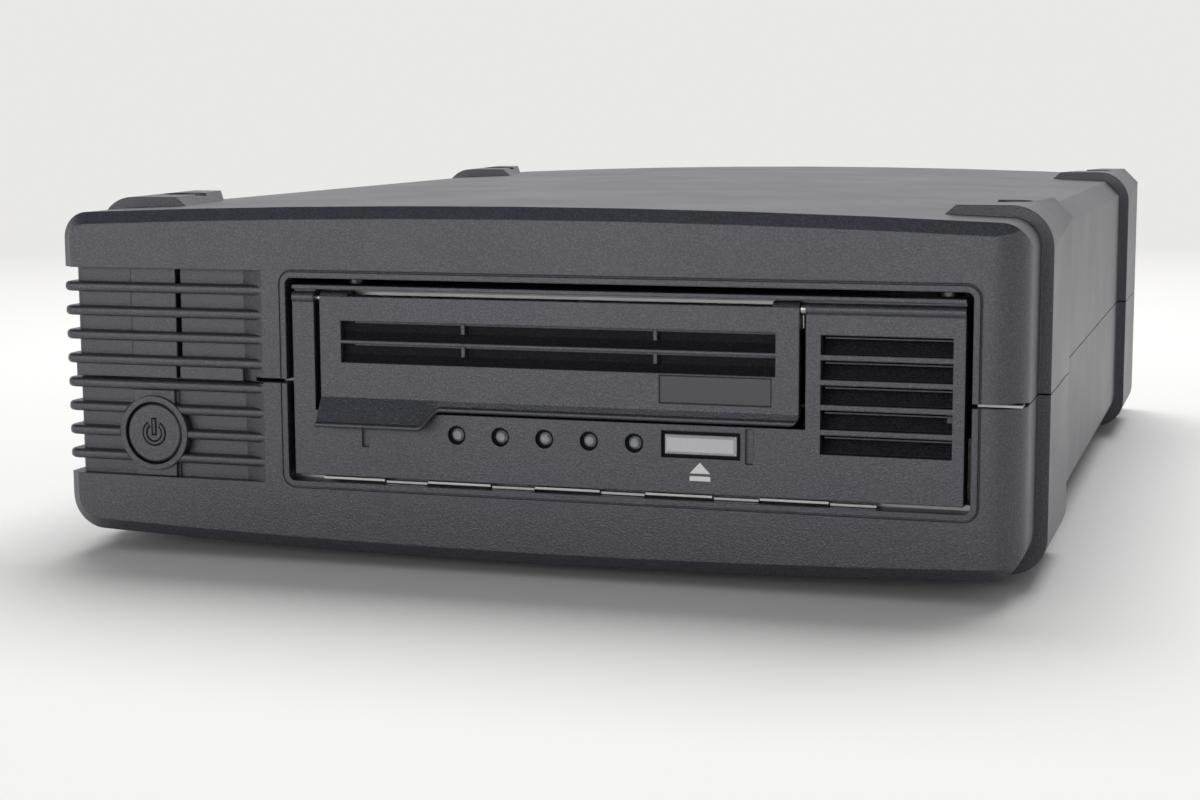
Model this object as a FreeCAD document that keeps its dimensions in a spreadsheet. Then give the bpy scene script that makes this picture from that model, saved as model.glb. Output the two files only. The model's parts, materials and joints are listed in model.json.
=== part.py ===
import FreeCAD, Part
import math
import os
import re
import types

import Sketcher
from FreeCAD import Placement, Rotation, Vector

# External half-height tape drive: a crowned two-shell plastic enclosure around a 5.25 inch
# half-height drive, its power supply, fan and rear connectors.
# Frame: +X to the right seen from the front, the front faces -Y, +Z up, millimetres.
# The origin is the centre of the bounding box, on the surface that the feet stand on.

DOC = FreeCAD.newDocument("tape_drive")

# ------------------------------------------------------------------ driving dimensions

SIZES = {
    # enclosure
    "service_bay": 58.1,
    "drive_side": 12.3,
    "case_depth": 310,
    "case_height": 77.8,
    "case_wall": 2.6,
    "front_wall": 5.0,
    "crown_radius": 2450,
    "edge_chamfer": 4.3,
    "nose_round": 6,
    "bottom_round": 8,
    "brow_height": 2.7,
    "brow_depth": 2.2,
    "corner_round": 7.5,
    "seam_gap": 0.3,
    "front_gap": 0.9,
    "front_gap_run": 5.9,
    "parting_lift": 20.9,
    # bumper bands that wrap the four corners
    "band_proud": 2.6,
    "band_length": 40,
    "band_setback": 22.4,
    "band_margin": 22.4,
    "band_round": 9,
    "pad_reach": 18,
    "pad_slant": 9,
    "pad_rise": 0.4,
    "pad_ramp": 2.4,
    "pad_back_ramp": 0.8,
    "dish_radius": 5.9,
    "dish_depth": 0.7,
    "dish_inset": 12.5,
    # vent field at the front left corner
    "vent_rise": 45.4,
    "vent_fall": 2.3,
    "vent_depth": 2.4,
    "vent_side": 16,
    "vent_margin": 13.1,
    "vent_merge": 5.6,
    "vent_round": 2.6,
    "rib_height": 2.2,
    "rib_edge": 0.9,
    "rib_count": 8,
    "rib_top_count": 4,
    "column_width": 11.3,
    "column_proud": 0.6,
    "column_groove": 0.35,
    "sill_proud": 1.2,
    "slit_width": 1.0,
    # shell screws and their bosses
    "boss_inset": 7.8,
    "boss_front": 14,
    "boss_rear": 14,
    "boss_radius": 4.1,
    "boss_bore": 1.5,
    "screw_head_radius": 2.8,
    "screw_head_height": 2.2,
    "screw_web": 6,
    "screw_reach": 9,
    "screw_gap": 0.05,
    # feet
    "foot_height": 2.6,
    "foot_radius": 5.4,
    "foot_recess": 1.0,
    "foot_gap": 0.1,
    "foot_bevel": 0.5,
    # drive position and front frame
    "drive_lift": 17.7,
    "bezel_width": 149,
    "bezel_height": 42.5,
    "bezel_gap": 1.5,
    "bezel_depth": 6,
    "bezel_skin": 2.6,
    "bezel_side": 1.4,
    "ear_length": 8,
    "ear_low": 16.6,
    "ear_high": 19.6,
    "emi_left_edge": 4.5,
    "emi_right_edge": 8.5,
    "emi_thick": 0.8,
    "emi_fall": 5,
    "emi_rise": 50,
    "emi_gap": 0.4,
    "emi_margin": 2.4,
    "tongue_length": 9,
    "tongue_thick": 0.5,
    "tongue_front": 1.4,
    "finger_count": 5,
    "finger_edge": 6.2,
    "finger_pitch": 25,
    "finger_wide": 14.7,
    "finger_narrow": 9.7,
    "finger_space": 0.3,
    "finger_set": 1.5,
    "finger_fall": 0.5,
    "finger_thick": 0.5,
    "finger_step": 0.35,
    "rim_width": 1.3,
    "rim_proud": 0.4,
    "rim_round": 1.5,
    "rim_groove": 0.4,
    "rim_groove_depth": 0.4,
    # power button
    "button_side": 22.6,
    "button_lift": 7.7,
    "button_radius": 6.9,
    "button_gap": 0.3,
    "button_travel": 2.2,
    "ring_wall": 1.35,
    "ring_tab": 10.3,
    "ring_tab_set": 0.8,
    "button_set": 0.25,
    "button_bevel": 0.5,
    "button_flange": 1.2,
    "button_stem": 1.6,
    "power_coil": 5.2,
    "coil_wire": 0.5,
    "spring_length": 7,
    "switch_board_left": 8,
    "switch_board_right": 15.5,
    "switch_board_rise": 10.5,
    "switch_post_x": 12,
    "switch_post_z": 7,
    "switch_body": 6,
    "switch_height": 3.5,
    # cartridge door
    "door_left_margin": 6.6,
    "door_right_margin": 34.3,
    "door_round": 2,
    "door_gap": 1.4,
    "door_skin": 2.2,
    "sill": 14.7,
    "sill_gap": 0.6,
    "hinge_lift": 39.6,
    "hinge_back": 1.8,
    "barrel_radius": 1.7,
    "pin_radius": 0.75,
    "pin_gap": 0.06,
    "pin_grip": 1.6,
    "lip_proud": 4.0,
    "lip_low": 11.3,
    "lip_start": 17.8,
    "lip_bead": 1.2,
    "lip_reach": 24.4,
    "lip_turn": 4.2,
    "lip_steps": 8,
    "small_lip_proud": 1.5,
    "face_gap": 0.4,
    "slot_edge": 5,
    "slot_low": 25.5,
    "slot_bar": 0.7,
    "slot_height": 4.25,
    "slot_front": 1.1,
    "slot_shade": 0.5,
    "slot_start": 3,
    "post_left": 34.7,
    "post_right": 8.7,
    "post_width": 0.8,
    "post_drop": 2.4,
    "post_back": 0.6,
    "plaque_left": 10.1,
    "plaque_right": 34.4,
    "plaque_low": 19.1,
    "plaque_high": 25.1,
    "plaque_depth": 0.3,
    # bezel details
    "grille_start": 4.55,
    "grille_end": 2.5,
    "grille_low": 9.65,
    "grille_pitch": 5.2,
    "grille_slot": 4.05,
    "grille_count": 5,
    "flange_thick": 0.9,
    "bar_radius": 1.25,
    "bar_lift": 39.75,
    "bar_proud": 0.4,
    "bar_sink": 0.2,
    "notch_start": 6.5,
    "notch_end": 5.7,
    "brow_rise": 0.5,
    "door_web": 0.7,
    "strip_back": 4.0,
    "strip_thick": 0.6,
    "strip_height": 0.7,
    "lamp_left": 35.8,
    "lamp_pitch": 10.1,
    "lamp_lift": 10.3,
    "lamp_well": 2.05,
    "lamp_radius": 1.4,
    "lamp_count": 5,
    "eject_left": 11.4,
    "eject_right": 27.0,
    "eject_low": 8.4,
    "eject_high": 12.5,
    "eject_gap": 0.8,
    "eject_travel": 1.2,
    "slit_depth": 0.8,
    "slit_left_x": 56.5,
    "slit_right_x": 28.9,
    "slit_wide": 1.7,
    "slit_low": 6.8,
    "slit_top": 0.5,
    "coil_inner": 0.85,
    "coil_outer": 1.35,
    "coil_waist": 1.15,
    "coil_low": 0.2,
    "coil_step": 0.25,
    "coil_leg": 4,
    "lamp_sink": 1.6,
    "lamp_set": 0.5,
    "lamp_dome": 0.5,
    "front_board_left": 45,
    "front_board_right": 35,
    "front_board_y": 9.2,
    "front_board_high": 14,
    "eject_flange": 1.5,
    "eject_flange_thick": 1.0,
    "eject_rim": 1.4,
    "eject_switch_x": 16,
    "eject_stem": 1.0,
    "eject_body": 5,
    "eject_body_height": 2.5,
    "eject_spring_x": 24,
    "eject_coil": 1.9,
    "eject_bevel": 0.6,
    "eject_proud": 0.4,
    # drive body
    "chassis_length": 199,
    "chassis_height": 40,
    "chassis_inset": 1.5,
    "sheet": 1.2,
    "deck_low": 8,
    "deck_thick": 2,
    "deck_front": 36,
    "board_thick": 1.6,
    "board_edge": 4,
    "board_left": 8,
    "board_side": 3,
    "board_front": 50,
    "board_end": 9,
    "board_gap": 1.95,
    "chip_grid": 2,
    "chip_rise": 1.2,
    "tab_size": 7,
    "tab_front": 18,
    "deck_screw_side": 7,
    "deck_screw_edge": 5,
    "deck_screw_end": 6,
    "post_radius": 2.5,
    # cartridge bay and loader
    "bay_centre": 13.85,
    "tray_half": 56,
    "tray_front": 38,
    "tray_length": 84,
    "tray_gap": 0.45,
    "tray_wall": 0.8,
    "tray_rim": 24,
    "load_drop": 2.2,
    "load_slide": 12,
    "load_ease": 0.1,
    "slider_gap": 0.5,
    "slider_thick": 1.5,
    "slider_start": 6,
    "slider_length": 68,
    "slider_rise": 16.1,
    "guide_lift": 6,
    "guide_front": 14,
    "guide_pitch": 40,
    "guide_pin": 1.0,
    "tooth_module": 1.0,
    "pinion_teeth": 14,
    "gear_face": 2.4,
    "tooth_gap": 0.5,
    "rack_count": 9,
    "pinion_y": 96,
    "pinion_shaft": 1.0,
    "gearmotor_radius": 6,
    "gearmotor_lift": 4.75,
    "gearmotor_height": 18,
    "gearmotor_arm": 4,
    "bracket_thick": 4,
    "bracket_half": 3,
    # reels, guides and head
    "chuck_radius": 13,
    "chuck_height": 2.6,
    "chuck_step": 1.2,
    "chuck_window": 18,
    "chuck_y": 80,
    "reel_x": -30,
    "reel_y": 165,
    "reel_radius": 30,
    "reel_hub": 14,
    "reel_height": 17,
    "reel_flange": 1.2,
    "motor_radius": 20,
    "motor_height": 5,
    "shaft_radius": 2.0,
    "shaft_gap": 0.05,
    "running_gap": 0.3,
    "roller_radius": 4,
    "roller_flange": 5.2,
    "roller_height": 15,
    "roller_rim": 1.0,
    "roller_a_x": 58,
    "roller_a_y": 122,
    "roller_b_x": 44,
    "roller_b_y": 132,
    "roller_c_x": 8,
    "roller_c_y": 132,
    "roller_d_x": -6,
    "roller_d_y": 138,
    "head_x": 22,
    "head_y": 146,
    "head_width": 16,
    "head_depth": 7,
    "head_side": 2,
    "head_plate": 1.5,
    "head_tall": 20,
    "head_guide_x": 5.5,
    "head_travel": 1.0,
    # cradle under the drive
    "cradle_half": 60,
    "cradle_margin": 30,
    "cradle_drop": 2.2,
    "cradle_flange": 14,
    "cradle_start": 16,
    "cradle_length": 180,
    "mount_lift": 9,
    "low_head_height": 1.0,
    "leg_radius": 4,
    # rear panel, fan, supply and connectors
    "panel_thick": 1.2,
    "panel_inset": 4,
    "panel_gap": 0.2,
    "ledge": 2,
    "fan_side": 27.1,
    "fan_size": 60,
    "fan_depth": 25,
    "fan_bore": 28,
    "fan_hub": 14,
    "fan_wall": 3,
    "fan_blades": 7,
    "blade_thick": 1.2,
    "fan_screw_pitch": 50,
    "grille_ring": 5,
    "ring_web": 2.4,
    "blade_pitch": 35,
    "panel_tab_side": 9.7,
    "panel_tab_rise": 22,
    "panel_tab": 4.5,
    "inlet_side": 31.7,
    "inlet_z": 34,
    "inlet_width": 27.6,
    "inlet_height": 20,
    "inlet_depth": 24,
    "inlet_flange": 50,
    "inlet_flange_thick": 2,
    "inlet_wall": 1.6,
    "inlet_socket": 17,
    "pin_pitch": 7,
    "pin_rise": 4,
    "pin_thick": 2,
    "pin_wide": 4,
    "pin_set": 5,
    "inlet_screw_pitch": 40,
    "port_side": 38.9,
    "port_z": 30,
    "port_pitch": 34,
    "port_width": 26,
    "port_height": 11,
    "port_depth": 20,
    "port_wall": 0.8,
    "port_proud": 1,
    "tongue_set": 5,
    "port_board_half": 34,
    "port_board_depth": 34,
    "supply_gap": 4.7,
    "supply_width": 46,
    "supply_set": 12,
    "supply_length": 150,
    "supply_lift": 8,
    "core_half": 17,
    "core_set": 90,
    "core_length": 26,
    "core_height": 22,
    "coil_margin": 3,
    "capacitor_count": 3,
    "capacitor_start": 22,
    "capacitor_radius": 6,
    "capacitor_height": 18,
    "capacitor_pitch": 16,
    "sink_set": 122,
    "sink_length": 10,
    "sink_base": 3,
    "sink_height": 18,
    "fin_count": 5,
    "fin_pitch": 8,
    "fin_thick": 1.2,
    "cable_rise": 4,
    "cable_thick": 2,
    "cable_wide": 6,
    "cable_shift": 4,
    "cable_reach": 14,
    "dc_end": 50,
    "ribbon_half": 9,
    "screw_length": 6,
    "small_screw": 1.5,
    "small_head": 2.8,
    "small_head_height": 1.6,
}

# Derived places, each a formula of the sizes above and of the places before it.
PLACES = {
    "half_width": "(drive_side + bezel_width + service_bay) / 2",
    "drive_x": "half_width - drive_side - bezel_width / 2",
    "front_y": "(lip_proud - case_depth) / 2",
    "rear_y": "front_y + case_depth",
    "bottom_z": "foot_height + pad_rise",
    "top_z": "bottom_z + case_height",
    "pad_low_z": "foot_height",
    "pad_high_z": "top_z + pad_rise",
    "drive_z": "bottom_z + drive_lift",
    "part_z": "drive_z + parting_lift",
    "inner_half": "half_width - case_wall",
    "band_out": "half_width + band_proud",
    "pad_in": "half_width - pad_reach",
    "band_front_y": "front_y + band_setback",
    "band_rear_y": "rear_y - band_margin - band_length",
    "foot_x": "(pad_in + band_out - bottom_round) / 2",
    "dish_x": "band_out - dish_inset",
    "foot_front_y": "band_front_y + band_length / 2",
    "foot_rear_y": "band_rear_y + band_length / 2",
    "vent_high_z": "drive_z + vent_rise",
    "vent_low_z": "drive_z - vent_fall",
    "rib_space": "(vent_high_z - vent_low_z - rib_count * rib_height) / (rib_count + 1)",
    "rib_pitch": "rib_space + rib_height",
    "vent_part_z": "vent_high_z - (rib_top_count + 1) * rib_pitch + rib_height + seam_gap",
    "floor_end_x": "drive_x - bezel_width / 2 - vent_margin",
    "merge_x": "floor_end_x + vent_merge",
    "vent_back_y": "front_y + vent_side",
    "button_x": "button_side - half_width",
    "button_z": "drive_z + button_lift",
    "ring_radius": "button_radius + button_gap + ring_wall",
    "boss_x": "half_width - boss_inset",
    "boss_front_y": "front_y + boss_front",
    "boss_rear_y": "rear_y - boss_rear",
    "bezel_half": "bezel_width / 2",
    "bezel_back_y": "front_y + bezel_depth",
    "open_half": "bezel_half + bezel_gap",
    "emi_left": "bezel_half + emi_left_edge",
    "emi_right": "bezel_half + emi_right_edge",
    "door_left": "bezel_half - door_left_margin",
    "door_right": "bezel_half - door_right_margin",
    "slot_left": "door_left - slot_edge",
    "slot_right": "door_right - slot_edge",
    "notch_left": "door_left - notch_start",
    "notch_right": "door_right - notch_end",
    "grille_left": "door_right + grille_start",
    "grille_right": "bezel_half - grille_end",
    "chassis_half": "bezel_half - chassis_inset",
    "board_right": "chassis_half - board_side",
    "deck_screw_x": "chassis_half - deck_screw_side",
    "open_low_z": "drive_z - bezel_gap",
    "open_high_z": "drive_z + bezel_height + bezel_gap",
    "hinge_y": "front_y + hinge_back",
    "hinge_z": "drive_z + hinge_lift",
    "chassis_z": "drive_z + (bezel_height - chassis_height) / 2",
    "chassis_top_z": "chassis_z + chassis_height",
    "chassis_y": "bezel_back_y",
    "chassis_back_y": "chassis_y + chassis_length",
    "deck_z": "chassis_z + deck_low",
    "deck_top_z": "deck_z + deck_thick",
    "tray_z": "deck_top_z + load_drop + tray_gap",
    "tray_low": "tray_z - drive_z",
    "slider_high": "tray_low + slider_rise",
    "gearmotor_low": "deck_top_z - drive_z + gearmotor_lift",
    "gearmotor_high": "gearmotor_low + gearmotor_height",
    "panel_y": "rear_y - panel_inset - panel_thick",
    "axis_z": "(bottom_z + top_z) / 2",
    "cradle_z": "chassis_z - cradle_drop - sheet",
    "cradle_front_y": "chassis_y + cradle_margin",
    "cradle_back_y": "chassis_back_y - cradle_margin",
    "floor_z": "bottom_z + case_wall",
    "switch_y": "front_y + front_wall + panel_gap + button_flange + spring_length",
    "ring_top_z": "vent_high_z - (rib_top_count + 1) * rib_pitch",
    "supply_x": "drive_x - chassis_half - sheet - supply_gap - supply_width / 2",
    "supply_y": "chassis_back_y - supply_set - supply_length",
    "core_y": "supply_y + core_set",
    "sink_y": "supply_y + sink_set",
    "fan_x": "drive_x + fan_side",
    "panel_tab_x": "half_width - panel_tab_side",
    "inlet_x": "inlet_side - half_width",
    "port_x": "drive_x - port_side",
    "supply_z": "floor_z + supply_lift",
    "chassis_rise": "(bezel_height - chassis_height) / 2",
    "chassis_end": "bezel_depth + chassis_length",
    "board_back": "chassis_end - board_end",
    "deck_screw_front": "deck_front + deck_screw_edge",
    "deck_screw_back": "chassis_end - deck_screw_end",
    "lid_under": "chassis_rise + chassis_height - sheet",
    "floor_lift": "chassis_rise + sheet",
    "board_rise": "floor_lift + board_gap",
    "tongue_lift": "parting_lift - tongue_thick / 2",
    "deck_rise": "chassis_rise + deck_low",
    "cradle_rise": "chassis_rise - cradle_drop - sheet",
    "eject_middle": "(eject_low + eject_high) / 2",
}


def make_sheet(name, cells, as_formula):
    sheet = DOC.addObject("Spreadsheet::Sheet", name)
    for row, (alias, content) in enumerate(cells.items(), start=1):
        sheet.set(f"A{row}", alias)
        sheet.setAlias(f"B{row}", alias)
        sheet.set(f"B{row}", as_formula(content))
    DOC.recompute()
    return sheet


def sheet_words(text, inside_places=False):
    """Turn the plain names in a formula into references to the two sheets."""
    def reference(match):
        word = match.group()
        if word in SIZES:
            return "dims." + word
        if word in PLACES and not inside_places:
            return "places." + word
        return word
    return re.sub(r"[a-z][a-z_]*", reference, str(text))


DIMS = make_sheet("dims", SIZES, str)
DERIVED = make_sheet("places", PLACES, lambda text: "=" + sheet_words(text, inside_places=True))

value = types.SimpleNamespace()
for alias in SIZES:
    setattr(value, alias, float(DIMS.get(alias)))
for alias in PLACES:
    setattr(value, alias, float(DERIVED.get(alias)))

NODES = {}


# ------------------------------------------------------------------ building blocks

def bind(item, **formulas):
    """Tie properties of a document object to formulas of the sheets."""
    for name, formula in formulas.items():
        item.setExpression(name.replace("__", "."), sheet_words(formula))


def new_item(kind, label):
    item = DOC.addObject(kind, label)
    item.Label = label
    return item


def box(label, x, y, z):
    """A block between two corners; each of x, y and z is a pair of formulas, low and high."""
    block = new_item("Part::Box", label)
    bind(block, Placement__Base__x=x[0], Placement__Base__y=y[0], Placement__Base__z=z[0])
    bind(block, Length=f"({x[1]}) - ({x[0]})", Width=f"({y[1]}) - ({y[0]})",
         Height=f"({z[1]}) - ({z[0]})")
    return block


AXIS_TURN = {
    "X": Rotation(Vector(0, 1, 0), 90),
    "Y": Rotation(Vector(1, 0, 0), -90),
    "Z": Rotation(),
}


def rod(label, axis, centre, span, radius):
    """A cylinder along one axis; centre gives the two other coordinates in X, Y, Z order."""
    cylinder = new_item("Part::Cylinder", label)
    cylinder.Placement = Placement(Vector(), AXIS_TURN[axis])
    low, high = span
    place = {"X": (low, *centre), "Y": (centre[0], low, centre[1]), "Z": (*centre, low)}[axis]
    bind(cylinder, Placement__Base__x=place[0], Placement__Base__y=place[1],
         Placement__Base__z=place[2])
    bind(cylinder, Radius=radius, Height=f"({high}) - ({low})")
    return cylinder


def fuse(label, parts):
    if len(parts) == 1:
        return parts[0]
    joined = new_item("Part::MultiFuse", label)
    joined.Shapes = parts
    joined.Refine = True
    return joined


def cut(label, base, tools):
    result = new_item("Part::Cut", label)
    result.Base = base
    result.Tool = fuse(label + "_cuts", tools)
    result.Refine = True
    return result


def group(label, parts):
    """Several separate solids that make one sub-part, such as a set of screws."""
    together = new_item("Part::Compound", label)
    together.Links = parts
    return together


def feature(label, shape):
    item = new_item("Part::Feature", label)
    item.Shape = shape
    return item


def node(name, item):
    item.Label = name
    NODES[name] = item
    return item


def in_drive(x, y, z):
    """Formula pairs measured from the bottom centre of the bezel's front, in the part's frame."""
    return (tuple(f"drive_x + ({e})" for e in x),
            tuple(f"front_y + ({e})" for e in y),
            tuple(f"drive_z + ({e})" for e in z))


def drive_box(label, x, y, z):
    return box(label, *in_drive(x, y, z))


def origin_plane(body, role):
    return next(f for f in body.Origin.OriginFeatures if f.Role == role)


def sketch(body, role, offset, outlines, circles=()):
    """A sketch on an origin plane: every corner of each outline, and each circle, is bound."""
    plan = body.newObject("Sketcher::SketchObject", body.Name + "_sketch")
    plan.AttachmentSupport = [(origin_plane(body, role), "")]
    plan.MapMode = "FlatFace"
    plan.setExpression(".AttachmentOffset.Base.z", sheet_words(offset))
    for points in outlines:
        first = plan.GeometryCount
        count = len(points)
        for i in range(count):
            start = Vector(10 * math.cos(i), 10 * math.sin(i), 0)
            end = Vector(10 * math.cos(i + 1), 10 * math.sin(i + 1), 0)
            plan.addGeometry(Part.LineSegment(start, end), False)
        for i in range(count):
            follower = first + (i + 1) % count
            plan.addConstraint(Sketcher.Constraint("Coincident", first + i, 2, follower, 1))
        for i, point in enumerate(points):
            for kind, formula in zip(("DistanceX", "DistanceY"), point):
                index = plan.addConstraint(Sketcher.Constraint(kind, -1, 1, first + i, 1, 1.0))
                plan.setExpression(f"Constraints[{index}]", sheet_words(formula))
    for centre, radius in circles:
        place = plan.addGeometry(Part.Circle(Vector(), Vector(0, 0, 1), 1.0), False)
        for kind, formula in zip(("DistanceX", "DistanceY"), centre):
            index = plan.addConstraint(Sketcher.Constraint(kind, -1, 1, place, 3, 1.0))
            plan.setExpression(f"Constraints[{index}]", sheet_words(formula))
        index = plan.addConstraint(Sketcher.Constraint("Radius", place, 1.0))
        plan.setExpression(f"Constraints[{index}]", sheet_words(radius))
    return plan


def turned(label, outline, centre, axis="Z"):
    """A turned piece: outline is (radius, height) formulas, revolved about an upright axis."""
    body = new_item("PartDesign::Body", label)
    profile = sketch(body, "XZ_Plane", "0", [outline])
    turn = body.newObject("PartDesign::Revolution", label + "_turn")
    turn.Profile = profile
    turn.ReferenceAxis = (profile, ["V_Axis"])
    turn.Angle = 360
    body.Placement = Placement(Vector(), AXIS_TURN[axis])
    bind(body, Placement__Base__x=centre[0], Placement__Base__y=centre[1],
         Placement__Base__z=centre[2])
    return body


def padded(label, role, low, high, outlines, circles=()):
    """A plate or bar: outlines in an origin plane, padded from low to high along its normal."""
    body = new_item("PartDesign::Body", label)
    offset = f"-({high})" if role == "XZ_Plane" else low
    pad = body.newObject("PartDesign::Pad", label + "_pad")
    pad.Profile = sketch(body, role, offset, outlines, circles)
    bind(pad, Length=f"({high}) - ({low})")
    return body


# ------------------------------------------------------------------ the moulded enclosure

# how much shorter a 45 degree bevel's leg gets for each millimetre that its outline moves in
BEVEL_SHIFT = 2 - math.sqrt(2)


def crown(x):
    """How far the arched top and bottom fall away at a distance x from the middle."""
    return value.crown_radius - math.sqrt(value.crown_radius ** 2 - x ** 2)


def loop(points, low, high):
    """An upright prism over a plan outline; a point list of three stands for an arc."""
    edges = []
    for piece in points:
        corners = [Vector(x, y, low) for x, y in piece]
        if len(corners) == 3:
            edges.append(Part.Arc(*corners).toShape())
        else:
            edges.append(Part.LineSegment(*corners).toShape())
    return Part.Face(Part.Wire(edges)).extrude(Vector(0, 0, high - low))


def case_section(y, side, cap, corner, top_turn, rounded=False):
    """Outline of the crowned case at one station, inset by side and cap.

    The bottom corners turn with the radius corner. The top corners take top_turn, as a bevel or,
    where rounded, as an arc.
    """
    half = value.half_width - side
    knee = half - top_turn
    heel = half - corner
    turn = corner * (1 - math.sqrt(0.5))
    shoulder = top_turn * ((1 - math.sqrt(0.5)) if rounded else 0.5)
    top = value.top_z - cap
    low = value.bottom_z + cap
    knee_z = top - crown(knee)
    heel_z = low + crown(heel)

    def arc(*points):
        return Part.Arc(*[Vector(x, y, z) for x, z in points]).toShape()

    def line(*points):
        return Part.LineSegment(*[Vector(x, y, z) for x, z in points]).toShape()

    def top_corner(hand):
        knee_at = (hand * knee, knee_z)
        side_at = (hand * half, knee_z - top_turn)
        if not rounded:
            return line(knee_at, side_at)
        return arc(knee_at, (hand * (half - shoulder), knee_z - shoulder), side_at)

    return Part.Wire([
        arc((-knee, knee_z), (0, top), (knee, knee_z)),
        top_corner(1),
        line((half, knee_z - top_turn), (half, heel_z + corner)),
        arc((half, heel_z + corner), (half - turn, heel_z + turn), (heel, heel_z)),
        arc((heel, heel_z), (0, low), (-heel, heel_z)),
        arc((-heel, heel_z), (turn - half, heel_z + turn), (-half, heel_z + corner)),
        line((-half, heel_z + corner), (-half, knee_z - top_turn)),
        top_corner(-1),
    ])


def along_y(wire, length):
    return Part.Face(wire).extrude(Vector(0, length, 0))


def case_blank():
    """The outside of the case: a rounded nose with a bevelled brow, then the bevelled section."""
    v = value
    brow = case_section(v.front_y, v.brow_height, v.brow_height, v.bottom_round - v.brow_height,
                        v.nose_round - v.brow_height, rounded=True)
    full = case_section(v.front_y + v.brow_depth, 0, 0, v.bottom_round, v.nose_round, rounded=True)
    long_y = v.band_front_y + v.band_length / 2
    long = case_section(long_y, 0, 0, v.bottom_round, v.edge_chamfer)
    nose = Part.makeLoft([brow, full], True, True)
    front = along_y(full, long_y - v.front_y - v.brow_depth)
    blank = nose.fuse([front, along_y(long, v.rear_y - long_y)]).removeSplitter()
    corner = v.corner_round
    centre = Vector(v.half_width - corner, v.front_y + corner, 0)
    square = Part.makeBox(2 * corner, 2 * corner, v.pad_high_z, centre - Vector(0, 2 * corner, 0))
    rounded = Part.makeCylinder(corner, v.pad_high_z, centre)
    return blank.cut(square.cut(rounded))


def band_section(side, y, slant, ramp, front):
    """One station of a corner band.

    The outer top corner is an arc in front and a bevel behind. The inner end of the upper pad
    steps aside by slant and falls away by ramp.
    """
    v = value
    pad_in = v.pad_in + slant
    tip = pad_in - ramp
    out = v.band_out
    bevel = v.band_round if front else v.edge_chamfer
    heel = v.bottom_round
    turn = heel * (1 - math.sqrt(0.5))
    bulge = bevel * ((1 - math.sqrt(0.5)) if front else 0.5)

    def at(x, z):
        return Vector(side * x, y, z)

    def line(start, end):
        return Part.LineSegment(at(*start), at(*end)).toShape()

    knee = (out - bevel, v.pad_high_z)
    side_top = (out, v.pad_high_z - bevel)
    side_low = (out, v.pad_low_z + heel)
    sole = (out - heel, v.pad_low_z)
    if front:
        corner = Part.Arc(at(*knee), at(out - bulge, v.pad_high_z - bulge), at(*side_top)).toShape()
    else:
        corner = line(knee, side_top)
    top = (tip, v.top_z - crown(tip))
    foot_end = v.pad_in - v.pad_ramp
    under = (foot_end, v.bottom_z + crown(foot_end))
    return Part.Wire([
        line(top, (pad_in, v.pad_high_z)),
        line((pad_in, v.pad_high_z), knee),
        corner,
        line(side_top, side_low),
        Part.Arc(at(*side_low), at(out - turn, v.pad_low_z + turn), at(*sole)).toShape(),
        line(sole, (v.pad_in, v.pad_low_z)),
        line((v.pad_in, v.pad_low_z), under),
        line(under, top),
    ])


def bumper_band(side, y):
    """One corner band: a pad with a slanted end, the side, a rounded heel and a flat below."""
    v = value
    front = band_section(side, y, 0, v.pad_ramp, True)
    back = band_section(side, y + v.band_length, v.pad_slant, v.pad_back_ramp, False)
    return Part.makeLoft([front, back], True, True)


def corner_path(inset, back, radius):
    """Plan line round the front left corner at an inset, from the vent's right end to its back."""
    v = value
    left = inset - v.half_width
    front = v.front_y + inset
    turn = radius * (1 - math.sqrt(0.5))
    return [
        ((v.floor_end_x, front), (left + radius, front)),
        ((left + radius, front), (left + turn, front + turn), (left, front + radius)),
        ((left, front + radius), (left, back)),
    ]


def vent_recess():
    """The sunk field behind the ribs; its floor rises to the face at the right and at the back."""
    v = value
    path = corner_path(v.vent_depth, v.vent_back_y - v.vent_depth, v.vent_round - 1)
    left = -v.half_width
    outside = [
        ((left + v.vent_depth, v.vent_back_y - v.vent_depth), (left, v.vent_back_y)),
        ((left, v.vent_back_y), (left - 1, v.vent_back_y)),
        ((left - 1, v.vent_back_y), (left - 1, v.front_y - 1)),
        ((left - 1, v.front_y - 1), (v.merge_x, v.front_y - 1)),
        ((v.merge_x, v.front_y - 1), (v.merge_x, v.front_y)),
        ((v.merge_x, v.front_y), (v.floor_end_x, v.front_y + v.vent_depth)),
    ]
    return loop(path + outside, v.vent_low_z, v.vent_high_z)


def vent_rib(index):
    """A rib that wraps the corner flush with the case, its nose rounded above and below."""
    v = value
    high = v.vent_high_z - (index + 1) * v.rib_pitch + v.rib_height
    low = high - v.rib_height
    root = v.vent_depth + v.rib_edge
    left = -v.half_width
    nose = v.vent_round
    turn = nose * (1 - math.sqrt(0.5))
    outline = [
        ((v.merge_x, v.front_y), (left + nose, v.front_y)),
        ((left + nose, v.front_y), (left + turn, v.front_y + turn), (left, v.front_y + nose)),
        ((left, v.front_y + nose), (left, v.vent_back_y)),
        ((left, v.vent_back_y), (left + root, v.vent_back_y)),
        ((left + root, v.vent_back_y), (left + root, v.front_y + root)),
        ((left + root, v.front_y + root), (v.floor_end_x, v.front_y + root)),
        ((v.floor_end_x, v.front_y + root), (v.merge_x, v.front_y)),
    ]
    rib = loop(outline, low, high)
    rims = []
    for edge in rib.Edges:
        middle = edge.valueAt((edge.FirstParameter + edge.LastParameter) / 2)
        flat = abs(edge.BoundBox.ZMax - edge.BoundBox.ZMin) < 1e-6
        outer = (middle.y < v.front_y + 1e-6 or middle.x < left + 1e-6
                 or isinstance(edge.Curve, Part.Circle))
        if flat and outer:
            rims.append(edge)
    return rib.makeFillet(v.rib_edge, rims)


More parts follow.
